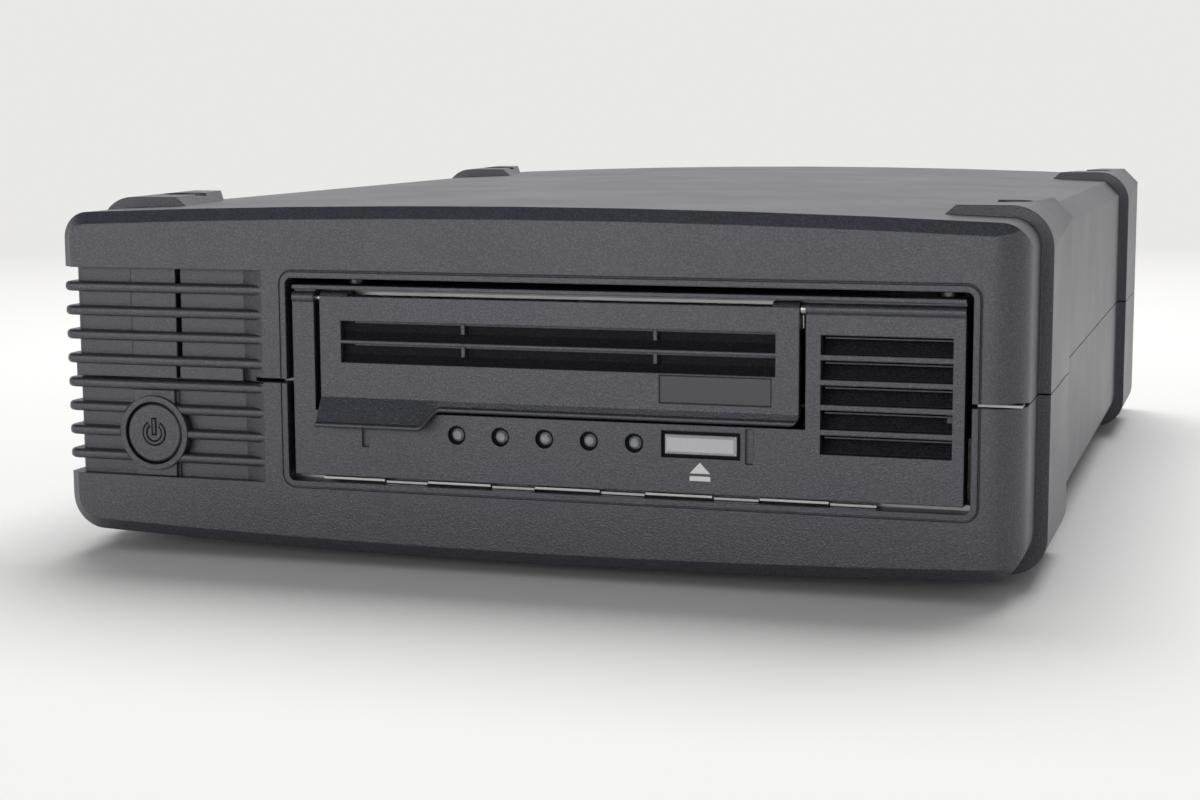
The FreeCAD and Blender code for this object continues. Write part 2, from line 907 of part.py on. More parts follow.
def block(x, y, z):
    return Part.makeBox(x[1] - x[0], y[1] - y[0], z[1] - z[0], Vector(x[0], y[0], z[0]))


def opening_prism(margin, y):
    """A block round the drive's opening, its edges along Y rounded."""
    v = value
    half = v.open_half + margin
    prism = block((v.drive_x - half, v.drive_x + half), y,
                  (v.open_low_z - margin, v.open_high_z + margin))
    edges = [edge for edge in prism.Edges
             if abs(edge.BoundBox.YMax - edge.BoundBox.YMin - (y[1] - y[0])) < 1e-6]
    return prism.makeFillet(v.rim_round + margin, edges)


def vent_sill():
    """The raised floor of the gap just above the parting line of the vent field."""
    v = value
    return block((v.vent_round - v.half_width, v.floor_end_x),
                 (v.front_y + v.vent_depth - v.sill_proud, v.front_y + v.vent_depth + 1),
                 (v.vent_part_z, v.vent_high_z - v.rib_top_count * v.rib_pitch))


def column_groove():
    """A fine upright groove at the left edge of the plain column."""
    v = value
    left = v.button_x - v.column_width / 2
    floor_y = v.front_y + v.vent_depth
    return block((left - v.column_groove, left), (v.front_y, floor_y + 2 * v.column_groove),
                 (v.vent_part_z + v.rib_pitch, v.vent_high_z))


def screw_places():
    v = value
    return [(side * v.boss_x, y) for side in (-1, 1) for y in (v.boss_front_y, v.boss_rear_y)]


def enclosure():
    """The whole moulded enclosure before it is parted into its two shells."""
    v = value
    outside = case_blank()
    bands = [bumper_band(side, y) for side in (-1, 1) for y in (v.band_front_y, v.band_rear_y)]
    left = -v.half_width
    cavity_y = v.front_y + v.front_wall
    hollow = case_section(cavity_y, v.case_wall, v.case_wall, v.bottom_round - v.case_wall,
                          v.edge_chamfer - v.case_wall * BEVEL_SHIFT)
    shell = outside.fuse(bands).cut(along_y(hollow, v.case_depth))
    # ledge that the rear panel rests against
    seat = case_section(v.panel_y - v.ledge, v.case_wall + v.ledge, v.case_wall + v.ledge,
                        v.bottom_round - v.case_wall, v.edge_chamfer)
    seat_blank = case_section(v.panel_y - v.ledge, v.case_wall / 2, v.case_wall / 2,
                              v.bottom_round, v.edge_chamfer)
    ledge = along_y(seat_blank, v.ledge).cut(along_y(seat, v.ledge))
    # thicker wall behind the side vents
    backing = block((left + v.case_wall / 2, left + v.vent_depth + v.case_wall),
                    (cavity_y - 1, v.vent_back_y + v.case_wall),
                    (v.vent_low_z - v.case_wall, v.vent_high_z + v.case_wall))
    rim = opening_prism(v.rim_width, (v.front_y - v.rim_proud, v.front_y + 1))
    groove = opening_prism(v.rim_width + v.rim_groove,
                           (v.front_y - v.rim_proud, v.front_y + v.rim_groove_depth))
    column_right = v.button_x + v.column_width / 2
    column = block((v.button_x - v.column_width / 2, column_right),
                   (v.front_y + v.vent_depth - v.column_proud, cavity_y),
                   (v.vent_low_z, v.vent_high_z))
    slit = block((column_right, column_right + v.slit_width), (v.front_y, cavity_y + 1),
                 (v.vent_part_z + v.seam_gap, v.vent_high_z))
    bosses = []
    for x, y in screw_places():
        post = Part.makeCylinder(v.boss_radius, v.case_height, Vector(x, y, v.bottom_z))
        bosses.append(post.common(outside))
    opening = opening_prism(0, (v.front_y - 1, cavity_y + 1))
    ring_bore = Part.makeCylinder(v.ring_radius + v.panel_gap / 2, v.front_wall + 2,
                                  Vector(v.button_x, v.front_y - 1, v.button_z), Vector(0, 1, 0))
    shell = shell.cut(groove).fuse([ledge, backing, rim] + bosses)
    shell = shell.cut([vent_recess(), opening]).fuse([column, vent_sill()]).cut([slit, column_groove()])
    shell = shell.fuse([vent_rib(i) for i in range(int(v.rib_count))])
    return shell.cut(ring_bore).removeSplitter()


def below_parting(lift):
    """Everything under the parting surface, which steps down along the vent ribs."""
    v = value
    reach = v.band_out + 1
    lower = block((-reach, reach), (v.front_y - 1 - v.lip_proud, v.rear_y + 1),
                  (-1, v.part_z + lift))
    step = block((-reach, v.merge_x), (v.front_y - 1 - v.lip_proud, v.vent_back_y + v.case_wall),
                 (v.vent_part_z + lift, v.part_z + 1))
    return lower.cut(step)


def front_slot():
    """The open seam across the front, from the vent field to just round the right corner."""
    v = value
    half = v.front_gap / 2
    return block((v.merge_x - v.rib_height, v.band_out), (v.front_y - 1, v.front_y + v.front_gap_run),
                 (v.part_z - half, v.part_z + half))


def build_shells():
    v = value
    whole = enclosure()
    upper = whole.cut(below_parting(v.seam_gap / 2)).cut(front_slot())
    lower = whole.common(below_parting(-v.seam_gap / 2)).cut(front_slot())
    up = Vector(0, 0, 1)
    for x, y in screw_places():
        seat_z = v.part_z - v.screw_web
        upper = upper.cut(Part.makeCylinder(v.boss_bore, v.screw_web + v.screw_reach + 1,
                                            Vector(x, y, seat_z), up))
        lower = lower.cut(Part.makeCylinder(v.boss_bore, v.case_height / 2,
                                            Vector(x, y, seat_z - 1), up))
        lower = lower.cut(Part.makeCylinder(v.screw_head_radius + v.panel_gap, seat_z + 1,
                                            Vector(x, y, -1), up))
    for side in (-1, 1):
        for y in (v.foot_front_y, v.foot_rear_y):
            dish = Part.makeCylinder(v.dish_radius, v.dish_depth + 1,
                                     Vector(side * v.dish_x, y, v.pad_high_z - v.dish_depth), up)
            upper = upper.cut(dish)
            recess = Part.makeCylinder(v.foot_radius + v.foot_gap, v.foot_recess + 1,
                                       Vector(side * v.foot_x, y, v.pad_low_z - 1), up)
            lower = lower.cut(recess)
    # legs that carry the drive cradle
    for x, y in cradle_places():
        leg = Part.makeCylinder(v.leg_radius, v.cradle_z - v.bottom_z - v.case_wall / 2,
                                Vector(x, y, v.bottom_z + v.case_wall / 2), up)
        bore = Part.makeCylinder(v.small_screw, v.cradle_z, Vector(x, y, v.floor_z + 1), up)
        lower = lower.fuse(leg).cut(bore)
    for place, top in board_posts():
        post = Part.makeCylinder(v.post_radius + 0.5, top - v.bottom_z - v.case_wall / 2,
                                 Vector(*place, v.bottom_z + v.case_wall / 2), up)
        bore = Part.makeCylinder(v.small_screw, top, Vector(*place, v.floor_z + 1), up)
        lower = lower.fuse(post).cut(bore)
    back = Vector(0, 1, 0)
    for side in (-1, 1):
        base = Vector(v.button_x + v.switch_post_x, v.front_y + v.front_wall - 1,
                      v.button_z + side * v.switch_post_z)
        post = Part.makeCylinder(v.post_radius - 0.2, v.switch_y - base.y, base, back)
        bore = Part.makeCylinder(v.small_screw, v.front_wall + v.spring_length,
                                 base + back * 2, back)
        lower = lower.fuse(post).cut(bore)
    for x, z in panel_tab_places():
        size = v.panel_tab
        reach = v.inner_half + v.case_wall / 2
        span = (x - size, reach) if x > 0 else (-reach, x + size)
        tab = block(span, (v.panel_y - 2 * size, v.panel_y), (z - size, z + size))
        bore = Part.makeCylinder(v.small_screw, 2 * size, Vector(x, v.panel_y - 1.5 * size, z), back)
        if z > v.part_z:
            upper = upper.fuse(tab).cut(bore)
        else:
            lower = lower.fuse(tab).cut(bore)
    node("top_cover", feature("top_cover", upper.removeSplitter()))
    node("bottom_case", feature("bottom_case", lower.removeSplitter()))


def board_posts():
    v = value
    edge = v.board_edge
    places = [((v.supply_x + a * (v.supply_width / 2 - edge),
                v.supply_y + v.supply_length / 2 + b * (v.supply_length / 2 - edge)), v.supply_z)
              for a, b in ((-1, -1), (-1, 1), (1, -1), (1, 1))]
    port_top = v.port_z - v.port_height / 2 - v.board_thick
    places += [((v.port_x + side * (v.port_board_half - edge),
                 v.panel_y - v.port_board_depth + edge), port_top) for side in (-1, 1)]
    return places


def panel_tab_places():
    v = value
    return [(a * v.panel_tab_x, v.part_z + b * v.panel_tab_rise)
            for a in (-1, 1) for b in (-1, 1)]


def cradle_places():
    v = value
    return [(v.drive_x + side * v.cradle_half, y) for side in (-1, 1)
            for y in (v.cradle_front_y, v.cradle_back_y)]


# ------------------------------------------------------------------ enclosure hardware

def all_screws(name, places, head_z, radius, head_radius, head_height, reach, head_up=True):
    """Identical upright screws: places are (x, y) formulas, head_z is the plane under the head."""
    screws = []
    for i, place in enumerate(places):
        if head_up:
            head = (head_z, f"{head_z} + {head_height}")
            shank = (f"{head_z} - ({reach})", head_z)
        else:
            head = (f"{head_z} - {head_height}", head_z)
            shank = (head_z, f"{head_z} + {reach}")
        screws.append(fuse(f"{name}_{i}", [
            rod(f"{name}_{i}_head", "Z", place, head, head_radius),
            rod(f"{name}_{i}_shank", "Z", place, shank, radius),
        ]))
    return screws


def rear_screws(name, places, head_y, reach):
    """Pan-head screws driven from behind along -Y; places are (x, z) formulas."""
    screws = []
    for i, place in enumerate(places):
        screws.append(fuse(f"{name}_{i}", [
            rod(f"{name}_{i}_head", "Y", place, (head_y, f"{head_y} + small_head_height"),
                "small_head"),
            rod(f"{name}_{i}_shank", "Y", place, (f"{head_y} - {reach}", head_y),
                "small_screw - screw_gap"),
        ]))
    return screws


CORNERS = [(-1, -1), (-1, 1), (1, -1), (1, 1)]

CASE_SCREWS = [(f"{side} * boss_x", y) for side in (-1, 1) for y in ("boss_front_y", "boss_rear_y")]

CRADLE_SCREWS = [(f"drive_x + {side} * cradle_half", y) for side in (-1, 1)
                 for y in ("cradle_front_y", "cradle_back_y")]

SUPPLY_SCREWS = [(f"supply_x + {a} * (supply_width / 2 - board_edge)",
                  f"supply_y + supply_length / 2 + {b} * (supply_length / 2 - board_edge)")
                 for a, b in CORNERS]


SWITCH_SCREWS = [("button_x + switch_post_x", f"button_z + {side} * switch_post_z")
                 for side in (-1, 1)]


def build_case_hardware():
    feet = [turned(f"foot_{i}", [
        ("0", "0"), ("foot_radius - foot_bevel", "0"), ("foot_radius", "foot_bevel"),
        ("foot_radius", "foot_height + foot_recess"), ("0", "foot_height + foot_recess"),
    ], (f"{side} * foot_x", y, "0"))
        for i, (side, y) in enumerate((a, b) for a in (-1, 1) for b in ("foot_front_y", "foot_rear_y"))]
    node("rubber_feet", group("rubber_feet", feet))
    node("case_screws", group("case_screws", all_screws(
        "case_screw", CASE_SCREWS, "part_z - screw_web", "boss_bore - screw_gap",
        "screw_head_radius", "screw_head_height", "screw_web + screw_reach", head_up=False)))
    ring = fuse("ring_blank", [
        rod("ring_outside", "Y", ("button_x", "button_z"),
            ("front_y", "front_y + front_wall"), "ring_radius"),
        box("ring_tabs", ("button_x - ring_tab / 2", "button_x + ring_tab / 2"),
            ("front_y + ring_tab_set", "front_y + vent_depth - column_proud"),
            ("vent_low_z + panel_gap / 2", "ring_top_z - panel_gap / 2")),
    ])
    bore = rod("ring_inside", "Y", ("button_x", "button_z"),
               ("front_y - 1", "front_y + front_wall + 1"), "button_radius + button_gap")
    node("power_button_ring", cut("power_button_ring", ring, [bore]))
    flange_y = "front_y + front_wall + panel_gap"
    cap = fuse("power_button", [
        turned("button_cap", [
            ("0", "0"), ("button_radius - button_bevel", "0"), ("button_radius", "button_bevel"),
            ("button_radius", "front_wall + panel_gap"), ("0", "front_wall + panel_gap"),
        ], ("button_x", "front_y + button_set", "button_z"), axis="Y"),
        rod("button_flange", "Y", ("button_x", "button_z"),
            (flange_y, f"{flange_y} + button_flange"), "ring_radius"),
        rod("button_stem", "Y", ("button_x", "button_z"),
            (flange_y, "switch_y - switch_height - button_travel - panel_gap"), "button_stem"),
    ])
    node("power_button", cap)
    node("power_button_spring", spring(
        "power_button_spring", (value.button_x, value.button_z),
        (value.front_y + value.front_wall + value.panel_gap + value.button_flange, value.switch_y),
        value.power_coil, value.coil_wire, 3.5))
    node("power_switch", box(
        "power_switch", ("button_x - switch_body / 2", "button_x + switch_body / 2"),
        ("switch_y - switch_height", "switch_y"),
        ("button_z - switch_body / 2", "button_z + switch_body / 2")))
    board = box("switch_board_blank", ("button_x - switch_board_left", "button_x + switch_board_right"),
                ("switch_y", "switch_y + board_thick"),
                ("button_z - switch_board_rise", "button_z + switch_board_rise"))
    holes = [rod(f"switch_board_hole_{i}", "Y", place,
                 ("switch_y - 1", "switch_y + board_thick + 1"), "small_screw")
             for i, place in enumerate(SWITCH_SCREWS)]
    node("switch_board", cut("switch_board", board, holes))


def spring(label, centre, span, radius, wire, turns):
    """A compression spring along Y with a square wire, its ends cut flat by the span."""
    low, high = span
    pitch = (high - low - wire) / turns
    coil = Part.makeHelix(pitch, pitch * turns, radius)
    half = wire / 2
    corners = [Vector(radius + a * half, 0, b * half)
               for a, b in ((-1, -1), (1, -1), (1, 1), (-1, 1), (-1, -1))]
    body = coil.makePipeShell([Part.makePolygon(corners)], True, True)
    body.Placement = Placement(Vector(centre[0], low + half, centre[1]), AXIS_TURN["Y"])
    return feature(label, body)


def build_emi():
    frame = drive_box("emi_blank", ("-emi_left", "emi_right"), ("front_wall", "front_wall + emi_thick"),
                      ("-emi_fall", "emi_rise"))
    window = drive_box("emi_window", ("-bezel_half - emi_margin", "bezel_half + emi_margin"),
                       ("front_wall - 1", "front_wall + emi_thick + 1"),
                       ("-emi_gap", "bezel_height + emi_margin"))
    tongue = drive_box("emi_tongue", ("bezel_half + emi_margin", "bezel_half + emi_margin + tongue_length"),
                       ("tongue_front", "front_wall + emi_thick"),
                       ("tongue_lift", "tongue_lift + tongue_thick"))
    node("emi_frame", fuse("emi_frame", [cut("emi_plate", frame, [window]), tongue]))
    fingers = []
    for i in range(int(value.finger_count)):
        start = f"finger_edge - bezel_half + {i} * finger_pitch"
        middle = f"{start} + finger_wide"
        fingers.append(drive_box(f"finger_{i}", (start, middle), ("finger_set", "front_wall"),
                                 ("-finger_fall - finger_thick", "-finger_fall")))
        fingers.append(drive_box(
            f"low_finger_{i}", (f"{middle} + finger_space", f"{middle} + finger_space + finger_narrow"),
            ("finger_set + finger_step", "front_wall"),
            ("-finger_fall - finger_step - finger_thick", "-finger_fall - finger_step")))
    node("emi_fingers", group("emi_fingers", fingers))


def build_cradle():
    half = "chassis_half"
    base = drive_box("cradle_base", (f"-{half} - sheet", f"{half} + sheet"),
                     ("cradle_start", "cradle_start + cradle_length"),
                     ("cradle_rise", "cradle_rise + sheet"))
    sides = [drive_box(f"cradle_side_{tag}", span, ("cradle_start", "cradle_start + cradle_length"),
                       ("cradle_rise", "cradle_rise + cradle_flange"))
             for tag, span in (("left", (f"-{half} - sheet", f"-{half}")),
                               ("right", (half, f"{half} + sheet")))]
    holes = [rod(f"cradle_hole_{i}", "Z", place, ("cradle_z - 1", "cradle_z + sheet + 1"), "small_screw")
             for i, place in enumerate(CRADLE_SCREWS)]
    side_holes = [rod(f"cradle_side_hole_{i}", "X", place, ("-band_out", "band_out"),
                      "small_screw") for i, place in enumerate(MOUNT_HOLES)]
    node("drive_cradle", cut("drive_cradle", fuse("cradle_blank", [base] + sides),
                             holes + side_holes))
    screws = all_screws("cradle_screw", CRADLE_SCREWS, "cradle_z + sheet",
                        "small_screw - screw_gap", "small_head", "low_head_height", "sheet + 7")
    for i, (y, z) in enumerate(MOUNT_HOLES):
        for side, tag in ((-1, "left"), (1, "right")):
            out = f"drive_x + {side} * (chassis_half + sheet)"
            head = (out, f"{out} + low_head_height") if side > 0 else (f"{out} - low_head_height", out)
            shank = (f"{out} - 2 * sheet", out) if side > 0 else (out, f"{out} + 2 * sheet")
            screws.append(fuse(f"mount_screw_{i}_{tag}", [
                rod(f"mount_head_{i}_{tag}", "X", (y, z), head, "small_head"),
                rod(f"mount_shank_{i}_{tag}", "X", (y, z), shank, "small_screw - screw_gap")]))
    node("cradle_screws", group("cradle_screws", screws))


MOUNT_HOLES = [("cradle_front_y", "cradle_z + mount_lift"), ("cradle_back_y", "cradle_z + mount_lift")]


# ------------------------------------------------------------------ the drive's front

def build_bezel():
    half = "bezel_half"
    door = ("-door_left - door_gap", "door_right + door_gap")
    full = (f"-{half}", half)
    deep = ("0", "bezel_depth")
    skin = ("0", "bezel_skin")
    under_flange = "bezel_height - flange_thick"
    solids = [
        drive_box("bezel_foot", full, skin, ("0", "sill")),
        drive_box("bezel_pillar", (f"-{half}", door[0]), deep, ("0", "bezel_height")),
        drive_box("bezel_block", (door[1], half), skin, ("0", "bezel_height")),
        drive_box("bezel_block_side", (door[1], f"{door[1]} + bezel_side"), deep,
                  ("0", "bezel_height")),
        drive_box("bezel_right_wall", (f"{half} - bezel_side", half), deep, ("0", "bezel_height")),
        drive_box("bezel_flange", full, deep, (under_flange, "bezel_height")),
        drive_box("bezel_low_flange", full, deep, ("0", "flange_thick")),
    ]
    solids += [drive_box(f"bezel_ear_{tag}", span, ("bezel_skin", "bezel_depth + ear_length"),
                         ("ear_low", "ear_high"))
               for tag, span in (
                   ("left", ("-chassis_half + sheet", "-chassis_half + sheet + bezel_side")),
                   ("right", ("chassis_half - sheet - bezel_side", "chassis_half - sheet")))]
    lay_back = "front_y + bar_radius - bar_proud"
    lay_z = "drive_z + bar_lift"
    for tag, span in (("left", (f"-{half}", door[0])), ("right", (door[1], half))):
        groove = drive_box(f"bezel_groove_{tag}", span, ("-1", "bar_radius"),
                           ("bar_lift - bar_radius + bar_sink", under_flange))
        solids.append((groove, rod(f"bezel_bar_{tag}", "X", (lay_back, lay_z),
                                   (f"drive_x + {span[0]}", f"drive_x + {span[1]}"), "bar_radius")))
    grooves = [pair[0] for pair in solids if isinstance(pair, tuple)]
    bars = [pair[1] for pair in solids if isinstance(pair, tuple)]
    plain = [item for item in solids if not isinstance(item, tuple)]
    blank = fuse("bezel_with_bars",
                 [cut("bezel_grooved", fuse("bezel_blank", plain), grooves)] + bars)
    cuts = [
        drive_box("eject_recess", ("eject_left - eject_gap", "eject_right + eject_gap"),
                  ("-1", "bezel_skin + 1"), ("eject_low - eject_gap", "eject_high + eject_gap")),
        drive_box("left_slit", ("-slit_left_x - slit_wide", "-slit_left_x"), ("-1", "slit_depth"),
                  ("slit_low", "lip_low")),
        drive_box("right_slit", ("slit_right_x", "slit_right_x + slit_wide"),
                  ("-1", "slit_depth"), ("slit_low", "sill - slit_top")),
        rod("pin_holes", "X", ("hinge_y", "hinge_z"),
            ("drive_x - door_left - door_gap - pin_grip", "drive_x + door_right + door_gap + pin_grip"),
            "pin_radius"),
    ]
    for i in range(int(value.grille_count)):
        low = f"grille_low + {i} * grille_pitch"
        cuts.append(drive_box(f"grille_{i}", ("grille_left", "grille_right"),
                              ("-1", "bezel_skin + 1"), (low, f"{low} + grille_slot")))
    for i in range(int(value.lamp_count)):
        centre = (f"drive_x - lamp_left + {i} * lamp_pitch", "drive_z + lamp_lift")
        cuts.append(rod(f"lamp_well_{i}", "Y", centre, ("front_y - 1", "front_y + lamp_sink"),
                        "lamp_well"))
        cuts.append(rod(f"lamp_hole_{i}", "Y", centre, ("front_y", "front_y + bezel_skin + 1"),
                        "lamp_radius + pin_gap"))
    node("drive_bezel", cut("drive_bezel", blank, cuts))
    node("grounding_strip", drive_box(
        "grounding_strip", ("-notch_left", "notch_right"),
        ("strip_back", "strip_back + strip_thick"), (f"{under_flange} - strip_height", under_flange)))


def bead(y, z, radius):
    """Corners of a rounded nose that looks forward and down, from its top round to its back."""
    angles = [math.radians(a) for a in (60, 110, 155, 200, 245, 290)]
    return [(y + radius * math.cos(a), z + radius * math.sin(a)) for a in angles]


def lip_station(x, share):
    """Section of the door's lower edge; share runs from 1 at the proud lip to 0 at the small one."""
    v = value
    low = v.sill + v.sill_gap
    radius = v.lip_bead / 2
    proud = bead(radius - v.lip_proud, v.lip_low + radius, radius)
    proud.append((-v.face_gap, low - v.face_gap))
    small = bead(radius - v.small_lip_proud, low + radius, radius)
    small.append((v.small_lip_proud / 2, low))
    nose = [(a[0] * share + b[0] * (1 - share), a[1] * share + b[1] * (1 - share))
            for a, b in zip(proud, small)]
    inside = [(v.door_skin, low), (v.door_skin, v.lip_start), (0, v.lip_start)]
    points = [Vector(v.drive_x + x, v.front_y + y, v.drive_z + z) for y, z in nose + inside]
    return Part.makePolygon(points + points[:1])


def lip_stations():
    """The proud lip, an S-shaped turn and the small lip, from left to right."""
    v = value
    steps = int(v.lip_steps)
    start = v.lip_reach - v.door_left
    ways = [i / steps for i in range(steps + 1)]
    turn = [(start + v.lip_turn * way, (1 + math.cos(math.pi * way)) / 2) for way in ways]
    return [lip_station(x, share) for x, share in [(-v.door_left, 1)] + turn + [(v.door_right, 0)]]


def build_door():
    lip = feature("door_lip", Part.makeLoft(lip_stations(), True, True))
    top = "hinge_lift"
    width = ("-door_left", "door_right")
    plate = drive_box("door_plate", width, ("0", "door_skin"), ("lip_start", top))
    barrel = rod("door_barrel", "X", ("hinge_y", "hinge_z"),
                 ("drive_x - door_left", "drive_x + door_right"), "barrel_radius")
    brow = drive_box("door_brow", width, ("0", "door_web"), (top, f"{top} + brow_rise"))
    cuts = [
        drive_box("door_channel", ("-notch_left", "notch_right"), ("door_web", "bezel_depth"),
                  (f"{top} - barrel_radius - door_web", "bezel_height")),
        drive_box("door_notch", ("-notch_left", "notch_right"), ("-1", "bezel_depth"),
                  (f"{top} + brow_rise", "bezel_height")),
        drive_box("plaque", ("plaque_left", "plaque_right"), ("-1", "plaque_depth"),
                  ("plaque_low", "plaque_high")),
        rod("door_bore", "X", ("hinge_y", "hinge_z"),
            ("drive_x - door_left - 1", "drive_x + door_right + 1"), "pin_radius + pin_gap"),
    ]
    corner_z = "sill + sill_gap + door_round"
    cuts.append(cut("door_corner",
                    drive_box("door_corner_square", ("door_right - door_round", "door_right + 1"),
                              ("-lip_proud", "door_skin + 1"), ("sill", corner_z)),
                    [rod("door_corner_turn", "Y",
                         ("drive_x + door_right - door_round", f"drive_z + {corner_z}"),
                         ("front_y - lip_proud - 1", "front_y + door_skin + 2"), "door_round")]))
    stubs = []
    upper = "slot_low + slot_height + slot_bar"
    for tag, low in (("low", "slot_low"), ("high", upper)):
        high = f"{low} + slot_height"
        cuts.append(drive_box(f"door_slot_{tag}", ("-slot_left", "slot_right"), ("-1", "slot_front"),
                              (low, high)))
        cuts.append(drive_box(f"door_slot_back_{tag}", ("-slot_left", "slot_right"),
                              ("slot_front - 0.1", "door_skin + 1"), (low, f"{high} - slot_shade")))
        cuts.append(drive_box(f"door_slot_end_{tag}", ("-slot_left", "slot_start - slot_left"),
                              ("slot_front - 0.1", "door_skin + 1"), (low, high)))
        for i, x in enumerate(("-post_left", "post_right")):
            stubs.append(drive_box(f"door_stub_{tag}_{i}", (x, f"{x} + post_width"),
                                   ("post_back", "door_skin"),
                                   (f"{high} - post_drop", f"{high} + slot_bar / 2")))
    cover = cut("door_cover", fuse("door_blank", [plate, barrel, brow, lip]), cuts)
    node("cartridge_door", fuse("cartridge_door", [cover] + stubs))
    node("door_hinge_pin", rod(
        "door_hinge_pin", "X", ("hinge_y", "hinge_z"),
        ("drive_x - door_left - door_gap - pin_grip", "drive_x + door_right + door_gap + pin_grip"),
        "pin_radius"))
    coil = [("coil_inner", "coil_low")]
    for i in range(4):
        coil.append(("coil_outer", f"coil_low + {i} * coil_step + coil_step / 4"))
        coil.append(("coil_outer", f"coil_low + {i} * coil_step + coil_step * 3 / 4"))
        coil.append(("coil_waist", f"coil_low + {i + 1} * coil_step"))
    coil.append(("coil_inner", "coil_low + 4 * coil_step"))
    turns = turned("door_coil", coil, ("drive_x + door_right", "hinge_y", "hinge_z"), axis="X")
    leg = drive_box("door_coil_leg", ("door_right + coil_low", "door_right + coil_low + coil_step"),
                    ("hinge_back + coil_inner", "hinge_back + coil_outer"),
                    ("hinge_lift - coil_leg", "hinge_lift"))
    node("door_spring", fuse("door_spring", [turns, leg]))


def build_front_controls():
    v = value
    board = drive_box("front_board_blank", ("-front_board_left", "front_board_right"),
                      ("front_board_y", "front_board_y + board_thick"),
                      ("floor_lift", "front_board_high"))
    node("front_board", board)
    lenses = []
    for i in range(int(v.lamp_count)):
        centre = (f"drive_x - lamp_left + {i} * lamp_pitch", "front_y + lamp_set",
                  "drive_z + lamp_lift")
        lenses.append(turned(f"lens_{i}", [
            ("0", "0"), ("lamp_radius - lamp_dome", "0"), ("lamp_radius", "lamp_dome"),
            ("lamp_radius", "front_board_y - lamp_set"), ("0", "front_board_y - lamp_set"),
        ], centre, axis="Y"))
    node("indicator_lenses", group("indicator_lenses", lenses))
    flange_y = "bezel_skin + panel_gap"
    cap = feature("eject_cap", chamfered_cap())
    button = fuse("eject_button", [
        cap,
        drive_box("eject_flange", ("eject_left - eject_flange", "eject_right + eject_flange"),
                  (flange_y, f"{flange_y} + eject_flange_thick"),
                  ("eject_low - eject_rim", "eject_high + eject_rim")),
        rod("eject_stem", "Y", ("drive_x + eject_switch_x", "drive_z + eject_middle"),
            (f"front_y + {flange_y}", "front_y + front_board_y - eject_body_height"
             " - eject_travel - panel_gap"), "eject_stem"),
    ])
    node("eject_button", button)
    node("eject_switch", drive_box(
        "eject_switch", ("eject_switch_x - eject_body / 2", "eject_switch_x + eject_body / 2"),
        ("front_board_y - eject_body_height", "front_board_y"),
        ("eject_middle - eject_body / 2", "eject_middle + eject_body / 2")))
    node("eject_button_spring", spring(
        "eject_button_spring", (v.drive_x + v.eject_spring_x, v.drive_z + v.eject_middle),
        (v.front_y + v.bezel_skin + v.panel_gap + v.eject_flange_thick, v.front_y + v.front_board_y),
        v.eject_coil, v.coil_wire, 3.5))


def chamfered_cap():
    v = value
    bevel = v.eject_bevel
    front = v.front_y - v.eject_proud

    def frame_at(y, inset):
        left, right = (v.eject_left + inset, v.eject_right - inset)
        low, high = (v.eject_low + inset, v.eject_high - inset)
        corners = [(left, low), (right, low), (right, high), (left, high)]
        points = [Vector(v.drive_x + x, y, v.drive_z + z) for x, z in corners]
        return Part.makePolygon(points + points[:1])

    return Part.makeLoft([frame_at(front, bevel), frame_at(front + bevel, 0),
                          frame_at(v.front_y + v.bezel_skin + v.panel_gap * 2, 0)], True, True)


# ------------------------------------------------------------------ drive body

